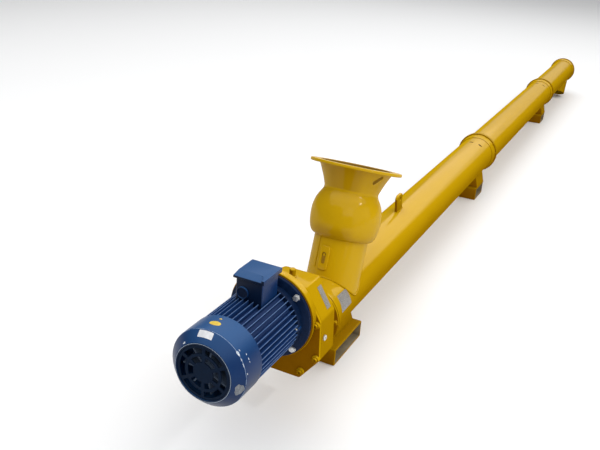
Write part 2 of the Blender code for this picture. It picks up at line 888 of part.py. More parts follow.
def build_terminal_box():
    top = AXIS_Z + MOTOR_RISE + BOX_TOP_RISE
    body = box(
        "terminal_box",
        (BOX_X[0], -BOX_HALF, AXIS_Z + MOTOR_RISE + BOX_FOOT_RISE),
        (BOX_X[1], BOX_HALF, top),
        "navy_paint",
    )
    bevel(body, 0.002)
    lid = box(
        "terminal_box_lid",
        (LID_X[0], -LID_HALF, top + GAP),
        (LID_X[1], LID_HALF, top + LID_THICK),
        "navy_paint",
    )
    bevel(lid, 0.003)
    start = along_x(BOX_X[0] - GAP - GLAND_LENGTH, GLAND_Y, MOTOR_RISE + GLAND_RISE)
    turned(
        "cable_gland",
        (
            (0, GLAND_LENGTH),
            (GLAND_R, GLAND_LENGTH),
            (GLAND_R, 0.0015),
            (GLAND_R - 0.001, 0),
            (0, 0),
        ),
        start,
        "navy_paint",
        closed=False,
        steps=20,
    )


build_tube()
build_end_plates()
build_inlet()
build_spout_pad()
build_discharge()
build_screw()
build_feet()
build_lug()
build_gearbox()
build_adapter()
build_motor()
build_fan_end()
build_terminal_box()
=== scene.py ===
# %% [markdown]
# # A tubular screw conveyor, dressed for the studio
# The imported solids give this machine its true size, and this lesson gives it its looks. We load the solids,
# mix the paints, then model each visible piece again with smooth curves, rounded edges, weld beads and bolts,
# and put a soft studio round it. Every piece is made at its own place, so nothing has to be moved later.

import math

import bpy
from mathutils import Matrix, Vector


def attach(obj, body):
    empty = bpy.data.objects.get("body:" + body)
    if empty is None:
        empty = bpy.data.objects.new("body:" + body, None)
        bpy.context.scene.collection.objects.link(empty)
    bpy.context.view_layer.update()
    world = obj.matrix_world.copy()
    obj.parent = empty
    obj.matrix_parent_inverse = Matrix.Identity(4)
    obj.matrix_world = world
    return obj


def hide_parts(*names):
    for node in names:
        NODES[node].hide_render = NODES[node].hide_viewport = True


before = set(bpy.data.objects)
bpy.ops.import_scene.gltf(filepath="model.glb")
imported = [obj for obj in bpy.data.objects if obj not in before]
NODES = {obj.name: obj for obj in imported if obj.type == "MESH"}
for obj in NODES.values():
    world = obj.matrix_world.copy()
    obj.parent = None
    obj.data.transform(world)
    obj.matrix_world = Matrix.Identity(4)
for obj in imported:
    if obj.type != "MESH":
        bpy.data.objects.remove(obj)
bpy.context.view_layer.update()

# %% [markdown]
# ## Sizes that the pieces share
# The solids stand on the floor, and the tube's axis is level. The same numbers as in the solids are written
# here by name, because a smooth pipe has to sit exactly where its faceted solid sits.

# %% Sizes
AXIS_Z = 0.240
TUBE_R = 0.1095
TUBE_WALL = 0.004
DRIVE_X = -0.190
JOINT_XS = (2.410, 4.800)
END_X = 6.250
RIM_R = 0.127
RIM_THICK = 0.009
NECK_LENGTH = 0.062
DISC_THICK = 0.008
INLET_LEAN = 0.295
SPOUT_R = 0.1056
BALL_S = 0.326
BALL_R = 0.1386
FLANGE_S = 0.511
FLANGE_THICK = 0.012
FLANGE_R = 0.180
DISCHARGE_X = 6.055
DISCHARGE_LEAN = 0.42
DISCHARGE_R = 0.0965
MOTOR_RISE = 0.155
MOTOR_FLANGE_X = -0.503
ROUND = 96

# %% [markdown]
# ## Small tools
# Blender's operators act on whatever is selected, and loading left every solid selected. So each piece starts
# with nothing selected, is modelled in its own simple frame, is laid at its place, and then has that place
# applied to its mesh, which leaves the object itself at the origin.

# %% Select, edit and place
UP = Matrix.Identity(4)


def select_only(*objects):
    if bpy.context.object and bpy.context.object.mode != "OBJECT":
        bpy.ops.object.mode_set(mode="OBJECT")
    bpy.ops.object.select_all(action="DESELECT")
    for item in objects:
        item.select_set(True)
    if objects:
        bpy.context.view_layer.objects.active = objects[0]


def edit(piece):
    select_only(piece)
    bpy.ops.object.mode_set(mode="EDIT")


def done():
    bpy.ops.object.mode_set(mode="OBJECT")


def lay(piece, matrix):
    """Put a piece at its place and write that place into its mesh."""
    select_only(piece)
    piece.matrix_world = matrix
    bpy.ops.object.transform_apply(location=True, rotation=True, scale=True)
    return piece


def along_x(x=0.0, y=0.0, rise=0.0):
    """A frame whose Z runs along the tube, at this height over the tube's axis."""
    return Matrix.Translation((x, y, AXIS_Z + rise)) @ Matrix.Rotation(math.pi / 2, 4, "Y")


def across(x, y=0.0, rise=0.0):
    """A frame whose X is the conveyor's Y, whose Y is up and whose Z runs along the tube."""
    turn = Matrix(((0, 0, 1, 0), (1, 0, 0, 0), (0, 1, 0, 0), (0, 0, 0, 1)))
    return Matrix.Translation((x, y, AXIS_Z + rise)) @ turn


def leaning(x, lean):
    return Matrix.Translation((x, 0, AXIS_Z)) @ Matrix.Rotation(lean, 4, "Y")


INLET = leaning(0, INLET_LEAN)
OUTLET = leaning(DISCHARGE_X, math.pi + DISCHARGE_LEAN)


# %% Draw a line, spin it or fill it
def draw(name, points, closed):
    """Draw straight edges from point to point, as by extruding one vertex along."""
    select_only()
    bpy.ops.mesh.primitive_plane_add(size=1, location=(0, 0, 0))
    piece = bpy.context.object
    piece.name = piece.data.name = name
    bpy.ops.object.mode_set(mode="EDIT")
    bpy.ops.mesh.select_all(action="SELECT")
    bpy.ops.mesh.merge(type="CENTER")
    bpy.ops.transform.translate(value=points[0])
    for here, there in zip(points, points[1:]):
        step = Vector(there) - Vector(here)
        bpy.ops.mesh.extrude_region_move(TRANSFORM_OT_translate={"value": step})
    if closed:
        done()
        ends = (piece.data.vertices[0], piece.data.vertices[len(points) - 1])
        for vertex in piece.data.vertices:
            vertex.select = vertex in ends
        edit(piece)
        bpy.ops.mesh.edge_face_add()
    return piece


def tidy_shell():
    bpy.ops.mesh.select_all(action="SELECT")
    bpy.ops.mesh.remove_doubles(threshold=1e-5)
    bpy.ops.mesh.normals_make_consistent(inside=False)


def turned(name, profile, matrix, sides=ROUND):
    """Spin (radius, height) points about Z into a round piece."""
    piece = draw(name, [(radius, 0, height) for radius, height in profile], True)
    bpy.ops.mesh.select_all(action="SELECT")
    bpy.ops.mesh.spin(steps=sides, angle=2 * math.pi, center=(0, 0, 0), axis=(0, 0, 1))
    tidy_shell()
    done()
    return lay(piece, matrix)


def plate(name, points, low, high, matrix):
    """Fill a flat outline and pull it up to a thickness."""
    piece = draw(name, [(x, y, low) for x, y in points], True)
    bpy.ops.mesh.select_all(action="SELECT")
    bpy.ops.mesh.edge_face_add()
    bpy.ops.mesh.extrude_region_move(TRANSFORM_OT_translate={"value": (0, 0, high - low)})
    bpy.ops.mesh.select_all(action="SELECT")
    bpy.ops.mesh.normals_make_consistent(inside=False)
    done()
    return lay(piece, matrix)


def block(name, low, high):
    select_only()
    low, high = Vector(low), Vector(high)
    bpy.ops.mesh.primitive_cube_add(size=1, location=(0, 0, 0))
    piece = bpy.context.object
    piece.name = piece.data.name = name
    piece.scale = high - low
    piece.location = (low + high) / 2
    bpy.ops.object.transform_apply(location=True, rotation=True, scale=True)
    return piece


def rod(name, radius, low, high, matrix=UP, sides=32):
    select_only()
    bpy.ops.mesh.primitive_cylinder_add(
        vertices=sides, radius=radius, depth=high - low, location=(0, 0, (low + high) / 2)
    )
    piece = bpy.context.object
    piece.name = piece.data.name = name
    bpy.ops.object.transform_apply(location=True, rotation=True, scale=True)
    return lay(piece, matrix)


# %% Cut, round off and finish
SHARP_DEGREES = 35


def cut(piece, *tools, how="DIFFERENCE"):
    for tool in tools:
        select_only(piece)
        change = piece.modifiers.new("cut", "BOOLEAN")
        change.operation = how
        change.solver = "EXACT"
        change.object = tool
        bpy.ops.object.modifier_apply(modifier=change.name)
        bpy.data.objects.remove(tool, do_unlink=True)
    return piece


def soften(piece, width, segments=2, angle=SHARP_DEGREES):
    """Round every edge that is sharper than this many degrees."""
    select_only(piece)
    change = piece.modifiers.new("rounded", "BEVEL")
    change.width = width
    change.segments = segments
    change.limit_method = "ANGLE"
    change.angle_limit = math.radians(angle)
    change.use_clamp_overlap = True
    change.harden_normals = False
    bpy.ops.object.modifier_apply(modifier=change.name)
    return piece


def joined(name, *pieces):
    select_only(*pieces)
    if len(pieces) > 1:
        bpy.ops.object.join()
    whole = bpy.context.object
    whole.name = whole.data.name = name
    return whole


def copied(piece, name, matrix):
    select_only(piece)
    bpy.ops.object.duplicate()
    twin = bpy.context.object
    twin.name = twin.data.name = name
    return lay(twin, matrix)


def finish(piece, coat, slot, *solids):
    """Shade a piece, paint it, and hide the solids it stands for. The slot is not used."""
    select_only(piece)
    bpy.ops.object.shade_smooth_by_angle(angle=math.radians(SHARP_DEGREES))
    piece.data.materials.clear()
    piece.data.materials.append(coat)
    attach(piece, "root")
    if solids:
        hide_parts(*solids)
    return piece


# %% [markdown]
# ## Shader sums as plain sums
# A paint is a few sums on noise. Wrapping a socket in a small class lets us write those sums as in a lesson
# on arithmetic, and each sign adds its own Math node.

# %% The socket class
class Wire:
    """A socket that can be added, subtracted, multiplied and held to a limit."""

    def __init__(self, tree, socket):
        self.tree = tree
        self.socket = socket

    def maths(self, operation, other, swap=False):
        node = self.tree.nodes.new("ShaderNodeMath")
        node.operation = operation
        for index, value in enumerate((other, self) if swap else (self, other)):
            if isinstance(value, Wire):
                self.tree.links.new(value.socket, node.inputs[index])
            else:
                node.inputs[index].default_value = value
        return Wire(self.tree, node.outputs[0])

    def __add__(self, other):
        return self.maths("ADD", other)

    __radd__ = __add__

    def __mul__(self, other):
        return self.maths("MULTIPLY", other)

    __rmul__ = __mul__

    def __sub__(self, other):
        return self.maths("SUBTRACT", other)

    def __rsub__(self, other):
        return self.maths("SUBTRACT", other, swap=True)

    def most(self, other):
        return self.maths("MAXIMUM", other)

    def least(self, other):
        return self.maths("MINIMUM", other)


class Finish:
    """One material, and the one method that adds any node to it."""

    def __init__(self, name):
        self.material = bpy.data.materials.new(name)
        self.material.use_nodes = True
        self.tree = self.material.node_tree
        self.shader = self.tree.nodes["Principled BSDF"]
        self.place = self.node("ShaderNodeTexCoord", output="Object")

    def node(self, kind, settings=None, output=0, **sockets):
        made = self.tree.nodes.new(kind)
        for key, value in (settings or {}).items():
            setattr(made, key, value)
        for key, value in sockets.items():
            socket = made.inputs[int(key[1:])] if key[1:].isdigit() else made.inputs[key]
            self.feed(socket, value)
        return Wire(self.tree, made.outputs[output])

    def feed(self, socket, value):
        if isinstance(value, Wire):
            self.tree.links.new(value.socket, socket)
        else:
            socket.default_value = value

    def set(self, **sockets):
        for key, value in sockets.items():
            self.feed(self.shader.inputs[key.replace("_", " ")], value)
        return self

    def noise(self, scale, detail=3.0):
        return self.node("ShaderNodeTexNoise", Vector=self.place, Scale=scale, Detail=detail, Roughness=0.55)

    def window(self, value, low, high):
        """0 up to one value and 1 from the other on, with a smooth step between them."""
        settings = {"clamp": True, "interpolation_type": "SMOOTHSTEP"}
        return self.node("ShaderNodeMapRange", settings, _0=value, _1=low, _2=high)

    def blend(self, mask, first, second):
        """The first colour where the mask is 0 and the second where it is 1."""
        return self.node("ShaderNodeMix", {"data_type": "RGBA"}, output=2, _0=mask, _6=first, _7=second)

    def axis(self, name):
        return self.node("ShaderNodeSeparateXYZ", output="XYZ".index(name), Vector=self.place)

    def facing(self, name):
        """How far the surface looks along an axis of the conveyor."""
        normal = self.node("ShaderNodeNewGeometry", output="Normal")
        return self.node("ShaderNodeSeparateXYZ", output="XYZ".index(name), Vector=normal)

    def inward(self, place):
        """1 where a surface looks at the axis of a turned piece, 0 elsewhere."""
        back = {"vector_type": "TEXTURE"}
        turn = place.to_euler()
        centre = place.translation
        spot = self.node("ShaderNodeMapping", back, Vector=self.place, Location=centre, Rotation=turn)
        spot = self.node("ShaderNodeVectorMath", {"operation": "MULTIPLY"}, _0=spot, _1=(1, 1, 0))
        normal = self.node("ShaderNodeNewGeometry", output="Normal")
        way = self.node("ShaderNodeMapping", back, Vector=normal, Rotation=turn)
        dot = self.node("ShaderNodeVectorMath", {"operation": "DOT_PRODUCT"}, output="Value", _0=spot, _1=way)
        return self.window(dot, -0.01, -0.03)

    def bump(self, height, strength, distance):
        self.set(Normal=self.node("ShaderNodeBump", Strength=strength, Distance=distance, Height=height))
        return self


def rgb(red, green, blue):
    return (red, green, blue, 1.0)


# %% [markdown]
# ## The paints
# The conveyor has a thick gloss enamel that was sprayed on, with a little orange peel and thin dust on top.
# Painted shade darkens the faces that look down or back to the motor, and the sides below the crown. Its gloss
# shows as a band along the crown, so the clear coat is masked to faces that look up. The motor is satin navy,
# paler on top with painted light and darker below with painted shade.

# %% Yellow enamel
BRIGHT_YELLOW = rgb(0.56, 0.335, 0.003)
# Painted shade colours: the first for undersides and sides, the second for faces that look back to the motor.
SHADED_YELLOW = rgb(0.32, 0.170, 0.001)
BACK_SHADE_YELLOW = rgb(0.20, 0.078, 0.001)
DUST = rgb(0.50, 0.40, 0.20)
# Painted shade for the inside of a pipe's bore.
BORE_SHADE = rgb(0.030, 0.022, 0.012)
# Painted shade for the inner faces of a turned piece that is open above.
INSIDE_SHADE = rgb(0.230, 0.120, 0.010)


def yellow_enamel(
    name, deep=0.0, coat=0.38, rough=0.14, under_shade=(0.75, -0.30, 0.80), front=0.85, glaze=0.0, bore=0.0, inside=None
):
    """Deep darkens it all over with painted shade, and under says where painted shade darkens it from crown to
    underside and by how much.

    Coat is the gloss on the crown and glaze the gloss all over. Front darkens with painted shade what looks back
    to the motor.
    Bore is the radius of a pipe's wall, and inside the place of a turned piece that is open above; painted shade
    darkens what lies within both.
    """
    paint = Finish(name)
    start, end, most = under_shade
    # Painted shade: darker from the crown down to the underside.
    low = paint.window(paint.facing("Z"), start, end) * most
    mottle = paint.window(paint.noise(3.0, 2.0), 0.35, 0.75) * 0.06
    # Painted shade on the sides, below the gloss band on the crown.
    side = paint.window(paint.facing("Z"), 0.72, 0.62) * (coat * 0.75)
    # The mask adds painted shade from below, from the sides and all over, and a random mottle.
    shade = (low + side + mottle + deep).least(1.0)
    colour = paint.blend(shade, BRIGHT_YELLOW, SHADED_YELLOW)
    # Painted shade on faces that look back to the motor.
    back_shade = paint.window(paint.facing("X"), -0.75, -0.97) * paint.window(paint.facing("Z"), 0.22, 0.02)
    colour = paint.blend(back_shade * front, colour, BACK_SHADE_YELLOW)
    pale_top = paint.window(paint.facing("Z"), 0.5, 1.0) * paint.window(paint.noise(5.0, 3.0), 0.45, 0.75) * 0.03
    colour = paint.blend(pale_top, colour, DUST)
    # Painted shade: the inside of the pipe's bore is made nearly black.
    if bore:
        sideways, upward = paint.axis("Y"), paint.axis("Z") - AXIS_Z
        bore_shade = paint.window(sideways * sideways + upward * upward, bore**2, (bore - 0.0006) ** 2)
        colour = paint.blend(bore_shade, colour, BORE_SHADE)
    # Painted shade on the inner faces that look at the axis.
    if inside:
        colour = paint.blend(paint.inward(inside) * 0.9, colour, INSIDE_SHADE)
    crown = paint.window(paint.facing("Z"), 0.62, 0.74) * paint.window(paint.facing("Y"), 0.45, 0.15)
    uneven = paint.window(paint.noise(12.0, 2.0), 0.3, 0.8) * 0.03
    paint.set(Base_Color=colour, Roughness=uneven + rough)
    paint.set(Metallic=crown * 0.10, Coat_Weight=crown * coat + glaze)
    paint.shader.inputs["Specular IOR Level"].default_value = 0.0
    paint.shader.inputs["Specular Tint"].default_value = rgb(1.0, 0.62, 0.08)
    paint.shader.inputs["Coat Roughness"].default_value = 0.12
    paint.bump(paint.noise(180.0, 2.0), 0.03, 0.0005)
    return paint.material


YELLOW = yellow_enamel("yellow_enamel")
PIPE = yellow_enamel("pipe_yellow", bore=0.1078)
# The pressed pieces get painted shade on their inner faces.
PRESSED = yellow_enamel(
    "pressed_yellow", coat=0.10, rough=0.24, under_shade=(0.20, -0.60, 0.48), front=0.30, glaze=0.26, inside=INLET
)
# Painted shade: the gearbox cover's yellow is darker all over, underneath and on the face that looks back to the
# motor.
COVER_SHADE_YELLOW = yellow_enamel("cover_shade_yellow", deep=0.12, coat=0.15, rough=0.30, under_shade=(0.40, -0.40, 0.70), front=0.95)
# Painted shade: the yellow of the feet, their cradles and welds is much darker all over.
FOOT_SHADE_YELLOW = yellow_enamel("foot_shade_yellow", deep=0.80, coat=0.05, rough=0.30)
print("mixed", YELLOW.name, PIPE.name, PRESSED.name, COVER_SHADE_YELLOW.name, FOOT_SHADE_YELLOW.name)


# %% Navy enamel
def navy_enamel(name):
    paint = Finish(name)
    cloud = paint.window(paint.noise(9.0, 4.0), 0.35, 0.75)
    rub = paint.window(paint.noise(60.0, 5.0), 0.58, 0.74) * 0.12
    mask = (cloud * 0.16 + rub).least(1.0)
    colour = paint.blend(mask, rgb(0.0010, 0.022, 0.096), rgb(0.006, 0.052, 0.165))
    # Painted light: paler on faces that look up.
    pale_top = paint.window(paint.facing("Z"), 0.30, 1.0) * 0.46
    colour = paint.blend(pale_top, colour, rgb(0.050, 0.152, 0.355))
    # Painted shade below and on faces that look back along the motor.
    shaded = paint.window(paint.facing("Z"), 0.30, -0.6) * 0.5
    front = paint.window(paint.facing("X"), -0.80, -0.96) * 0.85
    colour = paint.blend((shaded + front).least(0.9), colour, rgb(0.0016, 0.0065, 0.022))
    rough = 0.32 + cloud * 0.08
    paint.set(Base_Color=colour, Roughness=rough)
    paint.shader.inputs["Specular IOR Level"].default_value = 0.16
    paint.bump(paint.noise(320.0, 2.0), 0.05, 0.0005)
    return paint.material


NAVY = navy_enamel("navy_enamel")


# %% Plain finishes
def plain(name, dark, light, rough, metal=0.0, grain=80.0, height=0.05, shine=0.5):
    """A finish whose colour wanders between two tones."""
    paint = Finish(name)
    wander = paint.window(paint.noise(grain, 4.0), 0.3, 0.75)
    paint.set(Base_Color=paint.blend(wander, dark, light), Roughness=rough + wander * 0.12)
    paint.shader.inputs["Metallic"].default_value = metal
    paint.shader.inputs["Specular IOR Level"].default_value = shine
    paint.bump(wander, height, 0.0006)
    return paint.material


DARK_NAVY = plain("dark_navy", rgb(0.0020, 0.0080, 0.023), rgb(0.0032, 0.0115, 0.030), 0.50, shine=0.05)
# Painted shade: the motor flange gets a darker navy than the rest of the motor.
FLANGE_SHADE_NAVY = plain("flange_shade_navy", rgb(0.0014, 0.0085, 0.033), rgb(0.0025, 0.0130, 0.046), 0.42, shine=0.1)
SHIELD_NAVY = plain("shield_navy", rgb(0.014, 0.040, 0.100), rgb(0.020, 0.052, 0.130), 0.50, shine=0.1)
# Painted light: the black plastic is a navy grey, so the fan in the shade behind the grille shows lighter.
LIGHTENED_BLACK = plain("black_plastic", rgb(0.075, 0.105, 0.160), rgb(0.095, 0.130, 0.195), 0.50, shine=0.2)
# Painted shade for the bottom of the pad's slot.
SLOT_SHADE_BROWN = plain("slot_shade_brown", rgb(0.280, 0.150, 0.008), rgb(0.350, 0.200, 0.010), 0.60, shine=0.2)
ZINC = plain("zinc_plated", rgb(0.50, 0.50, 0.49), rgb(0.74, 0.74, 0.72), 0.30, 0.7, 240.0)
WORN = plain("worn_steel", rgb(0.10, 0.085, 0.07), rgb(0.24, 0.21, 0.18), 0.42, 0.8, 50.0)
CORK = plain("joint_seal", rgb(0.050, 0.028, 0.008), rgb(0.110, 0.062, 0.016), 0.75)
PLATE = plain("bare_plate", rgb(0.13, 0.12, 0.11), rgb(0.46, 0.44, 0.41), 0.50, 0.35, 520.0, 0.25)
PAPER = plain("label_paper", rgb(0.66, 0.67, 0.70), rgb(0.80, 0.81, 0.83), 0.55)
DECAL = plain("yellow_decal", rgb(0.62, 0.40, 0.03), rgb(0.78, 0.56, 0.05), 0.42)
PRIMER = plain("primer", rgb(0.52, 0.58, 0.64), rgb(0.76, 0.80, 0.84), 0.60)
GREYED = plain("greyed_paint", rgb(0.10, 0.115, 0.135), rgb(0.21, 0.22, 0.24), 0.55, 0.0, 160.0)
INSIDE = plain("bare_inside", rgb(0.17, 0.135, 0.080), rgb(0.25, 0.200, 0.120), 0.70, 0.0, 30.0)
print("finishes:", len(bpy.data.materials))

# %% [markdown]
# ## The camera
# The place, the aim and the lens were worked out from the straight edges of the machine in the photograph:
# the tube's sides, its joints and the feet. They are written down as plain numbers.

# %% Camera
CAMERA_PLACE = Vector((-2.425, -0.966, 1.625))
CAMERA_RIGHT = Vector((0.4446, -0.8928, 0.0722))
CAMERA_UP = Vector((0.3181, 0.2328, 0.9190))
CAMERA_AHEAD = Vector((0.8373, 0.3856, -0.3875))
CAMERA_LENS = 44.436

select_only()
bpy.ops.object.camera_add()
camera = bpy.context.object
camera.name = "camera"
camera.data.lens = CAMERA_LENS
camera.data.sensor_width = 36.0
turn = Matrix((CAMERA_RIGHT, CAMERA_UP, -CAMERA_AHEAD)).transposed().to_4x4()
camera.matrix_world = Matrix.Translation(CAMERA_PLACE) @ turn
bpy.context.scene.camera = camera
print("camera looks from", CAMERA_PLACE)

# %% [markdown]
# ## Profiles
# A turned piece is only as good as its profile. One helper rounds the corners of a profile, and another
# melts two radii into one another, which gives the soft hollow where two rolled shapes are welded.


# %% Profile helpers
def rounded(points, radius, only=None, steps=3):
    """Replace corners of a closed outline by short curves."""
    result = []
    count = len(points)
    for index, corner in enumerate(points):
        corner = Vector(corner)
        before, after = Vector(points[index - 1]), Vector(points[(index + 1) % count])
        if only is not None and index not in only:
            result.append(tuple(corner))
            continue
        back, forth = before - corner, after - corner
        reach = min(radius, 0.45 * back.length, 0.45 * forth.length)
        start, end = corner + back.normalized() * reach, corner + forth.normalized() * reach
        for step in range(steps + 1):
            t = step / steps
            result.append(tuple(start * (1 - t) ** 2 + corner * 2 * t * (1 - t) + end * t**2))
    return result


def melt(first, second, width):
    """The larger of two radii, with a soft hollow where they cross."""
    near = max(width - abs(first - second), 0) / width
    return max(first, second) + near * near * width / 4


def stadium(length, width, steps=8):
    """An oblong outline, its length along X."""
    reach = (length - width) / 2
    points = []
    for side in (1, -1):
        for step in range(steps + 1):
            angle = math.pi * (step / steps - 0.5)
            points.append((side * (reach + width / 2 * math.cos(angle)), side * width / 2 * math.sin(angle)))
    return points


# %% [markdown]
# ## The tube
# Three rolled pipes carry the screw. Each is a thin wall turned round the axis, and the inlet, the discharge
# and the small oblong holes in the crown are cut through it.

# %% Tube sections
GAP = 0.0003
SLOT_SIZE = (0.028, 0.017)
SLOT_TURNS = (math.radians(6), math.radians(-26))
SLOT_BACK = 0.188
TUBE_EDGES = (DRIVE_X, *JOINT_XS, END_X)


def tube_section(index):
    start, end = TUBE_EDGES[index] + GAP / 2, TUBE_EDGES[index + 1] - GAP / 2
    inner = TUBE_R - TUBE_WALL
    profile = [(TUBE_R, end - start), (TUBE_R, 0), (inner, 0), (inner, end - start)]
    section = turned(f"tube_shell_{index + 1}", profile, along_x(start))
    if index < 2:
        for roll in SLOT_TURNS:
            centre = Matrix.Translation((JOINT_XS[index] - SLOT_BACK, 0, AXIS_Z))
            place = centre @ Matrix.Rotation(-roll, 4, "X")
            outline = [(x, y) for y, x in reversed(stadium(*SLOT_SIZE))]
            cut(section, plate("slot", outline, TUBE_R - 0.03, TUBE_R + 0.03, place))
    return section


shells = [tube_section(index) for index in range(3)]
cut(shells[0], rod("inlet_bore", SPOUT_R - 0.004, 0, BALL_S, INLET, ROUND))
cut(shells[2], rod("discharge_bore", DISCHARGE_R - 0.004, 0, 0.25, OUTLET, ROUND))
for index, shell in enumerate(shells):
    finish(shell, PIPE, "yellow_paint", f"tube_section_{index + 1}")
print("tube sections:", len(shells))

# %% [markdown]
# ## The pressed collars
# Where two sections meet, each end wears a pressed collar: it hugs the pipe, swells, and turns out into a
# flat rim. The same profile serves both joints and both ends of the tube.


# %% Collars and seals
RIM_BACK = 0.0018
SEAL_HALF = 0.0014
SEAL_R = RIM_R - 0.0012


def collar(name, x, faces_forward, node):
    bore, low, top = TUBE_R + GAP, TUBE_R + 0.0024, 0.1195
    neck = []
    for step in range(13):
        u = step / 12
        swell = (1 - u) ** 2 * (1 + 2 * u)
        neck.append((low + (top - low) * swell, -RIM_THICK - (NECK_LENGTH - RIM_THICK) * u))
    rim = rounded([(RIM_R, 0), (RIM_R, -RIM_THICK), (top, -RIM_THICK)], 0.0022, only=(0, 1))
    profile = rim[:-1] + neck + [(bore, -NECK_LENGTH), (bore, 0)]
    place = along_x(x)
    if not faces_forward:
        place = place @ Matrix.Rotation(math.pi, 4, "X")
    return finish(turned(name, profile, place), YELLOW, "yellow_paint", node)


for number, joint in enumerate(JOINT_XS, 1):
    collar(f"joint_{number}_near_collar", joint - RIM_BACK, True, f"joint_{number}_near_flange")
    collar(f"joint_{number}_far_collar", joint + RIM_BACK, False, f"joint_{number}_far_flange")
    ring = [(SEAL_R, SEAL_HALF), (SEAL_R, -SEAL_HALF), (TUBE_R + GAP, -SEAL_HALF), (TUBE_R + GAP, SEAL_HALF)]
    finish(turned(f"joint_{number}_seal", ring, along_x(joint)), CORK, "gasket", f"joint_{number}_gasket")
collar("drive_end_collar", DRIVE_X, False, "drive_end_flange")
collar("discharge_end_collar", END_X, True, "discharge_end_flange")
print("collars done")

# %% [markdown]
# ## The inlet
# The inlet is a rolled spout, a pressed ball, a flared collar and a thin flange, all about one axis that
# leans to the discharge. The ball's profile is melted into the collar's, because the real weld is ground smooth.

# %% Spout, ball, collar and flange
BALL_WALL = 0.004
BALL_TOP_R = 0.104
COLLAR_TOP_R = 0.143
COLLAR_WALL = 0.0045
FLANGE_HOLES = 8
FLANGE_HOLE_CIRCLE = 0.162
BALL_LOW = BALL_S - math.sqrt(BALL_R**2 - SPOUT_R**2)
BALL_HIGH = BALL_S + math.sqrt(BALL_R**2 - BALL_TOP_R**2)


def ball_radius(s):
    """A circle above the middle; below it, a fuller curve that turns in square to the spout."""
    if s >= BALL_S:
        return math.sqrt(max(BALL_R**2 - (s - BALL_S) ** 2, 0))
    drop = min((BALL_S - s) / (BALL_S - BALL_LOW), 1)
    return SPOUT_R + (BALL_R - SPOUT_R) * (1 - drop**2.4) ** (1 / 2.4)


def collar_radius(s):
    u = (s - BALL_HIGH) / (FLANGE_S - BALL_HIGH)
    return BALL_TOP_R + (COLLAR_TOP_R - BALL_TOP_R) * (0.72 * u + 0.28 * u * u)


def shell_profile(radius, low, high, wall, steps):
    heights = [low + (high - low) * (step / steps) ** 1.35 for step in range(steps + 1)]
    outside = [(radius(s), s) for s in reversed(heights)]
    inside = [(radius(s) - wall, s) for s in heights]
    return outside + inside


def inlet_radius(s):
    return melt(ball_radius(s), collar_radius(s), 0.016)


spout_top, spout_inner = BALL_LOW - GAP, SPOUT_R - BALL_WALL
spout_profile = [(SPOUT_R, spout_top), (SPOUT_R, 0), (spout_inner, 0), (spout_inner, spout_top)]
spout = turned("inlet_spout_shell", spout_profile, INLET)
cut(spout, rod("pipe", TUBE_R + GAP, -0.3, 0.6, along_x(), ROUND))
finish(spout, PRESSED, "yellow_paint", "inlet_spout")

ball = turned("inlet_ball_shell", shell_profile(inlet_radius, BALL_LOW, BALL_HIGH, BALL_WALL, 40), INLET)
finish(ball, PRESSED, "yellow_paint", "inlet_ball")

funnel = turned(
    "inlet_funnel", shell_profile(inlet_radius, BALL_HIGH + GAP, FLANGE_S - GAP, COLLAR_WALL, 16), INLET
)
SLOT_PLACE = (
    INLET
    @ Matrix.Translation((0, 0, 0.485))
    @ Matrix.Rotation(math.radians(-116), 4, "Z")
    @ Matrix.Rotation(math.pi / 2, 4, "Y")
    @ Matrix.Rotation(-math.pi / 4, 4, "Z")
)
cut(funnel, plate("oblong_hole", stadium(0.046, 0.020), BALL_TOP_R, FLANGE_R, SLOT_PLACE))
finish(funnel, PRESSED, "yellow_paint", "inlet_collar")

bore = COLLAR_TOP_R - COLLAR_WALL
flange_top = FLANGE_S + FLANGE_THICK
ring = rounded([(FLANGE_R, flange_top), (FLANGE_R, FLANGE_S), (bore, FLANGE_S), (bore, flange_top)], 0.0035)
flange = turned("inlet_flange_ring", ring, INLET)
for index in range(FLANGE_HOLES):
    turn = Matrix.Rotation(2 * math.pi / FLANGE_HOLES * (index + 0.5), 4, "Z")
    place = INLET @ turn @ Matrix.Translation((FLANGE_HOLE_CIRCLE, 0, FLANGE_S))
    cut(flange, rod("bolt_hole", 0.007, -0.01, 0.03, place, 24))
finish(flange, PRESSED, "yellow_paint", "inlet_flange")
print("inlet reaches", round(max(v.co.z for v in flange.data.vertices), 3), "m")

# %% [markdown]
# ## The pad on the spout
# A flat pad with an oblong hole sits on the round spout, and a bolt shows at the bottom of the hole. The
# spout itself was rolled from plate, so a thin weld runs down it, and a thicker one goes round each branch.


# %% Weld beads
def bead(name, points, radius, closed=False):
    """A raised weld along a line, round in section and a little uneven."""
    piece = draw(name, points, closed)
    done()
    select_only(piece)
    bpy.ops.object.convert(target="CURVE")
    piece = bpy.context.object
    piece.data.bevel_depth = radius
    piece.data.bevel_resolution = 1
    for spline in piece.data.splines:
        for index, point in enumerate(spline.points):
            point.radius = 1.0 + 0.14 * math.sin(index * 2.4)
    bpy.ops.object.convert(target="MESH")
    piece = bpy.context.object
    edit(piece)
    tidy_shell()
    done()
    return piece


def crossing(matrix, radius, lift):
    """The line where a round branch meets the tube."""
    points, steps = [], 120
    for step in range(steps):
        angle = 2 * math.pi * step / steps
        start = matrix @ Vector((radius * math.cos(angle), radius * math.sin(angle), 0))
        way = (matrix.to_3x3() @ Vector((0, 0, 1))).normalized()
        y, z = start.y, start.z - AXIS_Z
        a, b = way.y**2 + way.z**2, y * way.y + z * way.z
        c = y * y + z * z - (TUBE_R + lift) ** 2
        points.append(tuple(start + way * (-b + math.sqrt(max(b * b - a * c, 0))) / a))
    return points


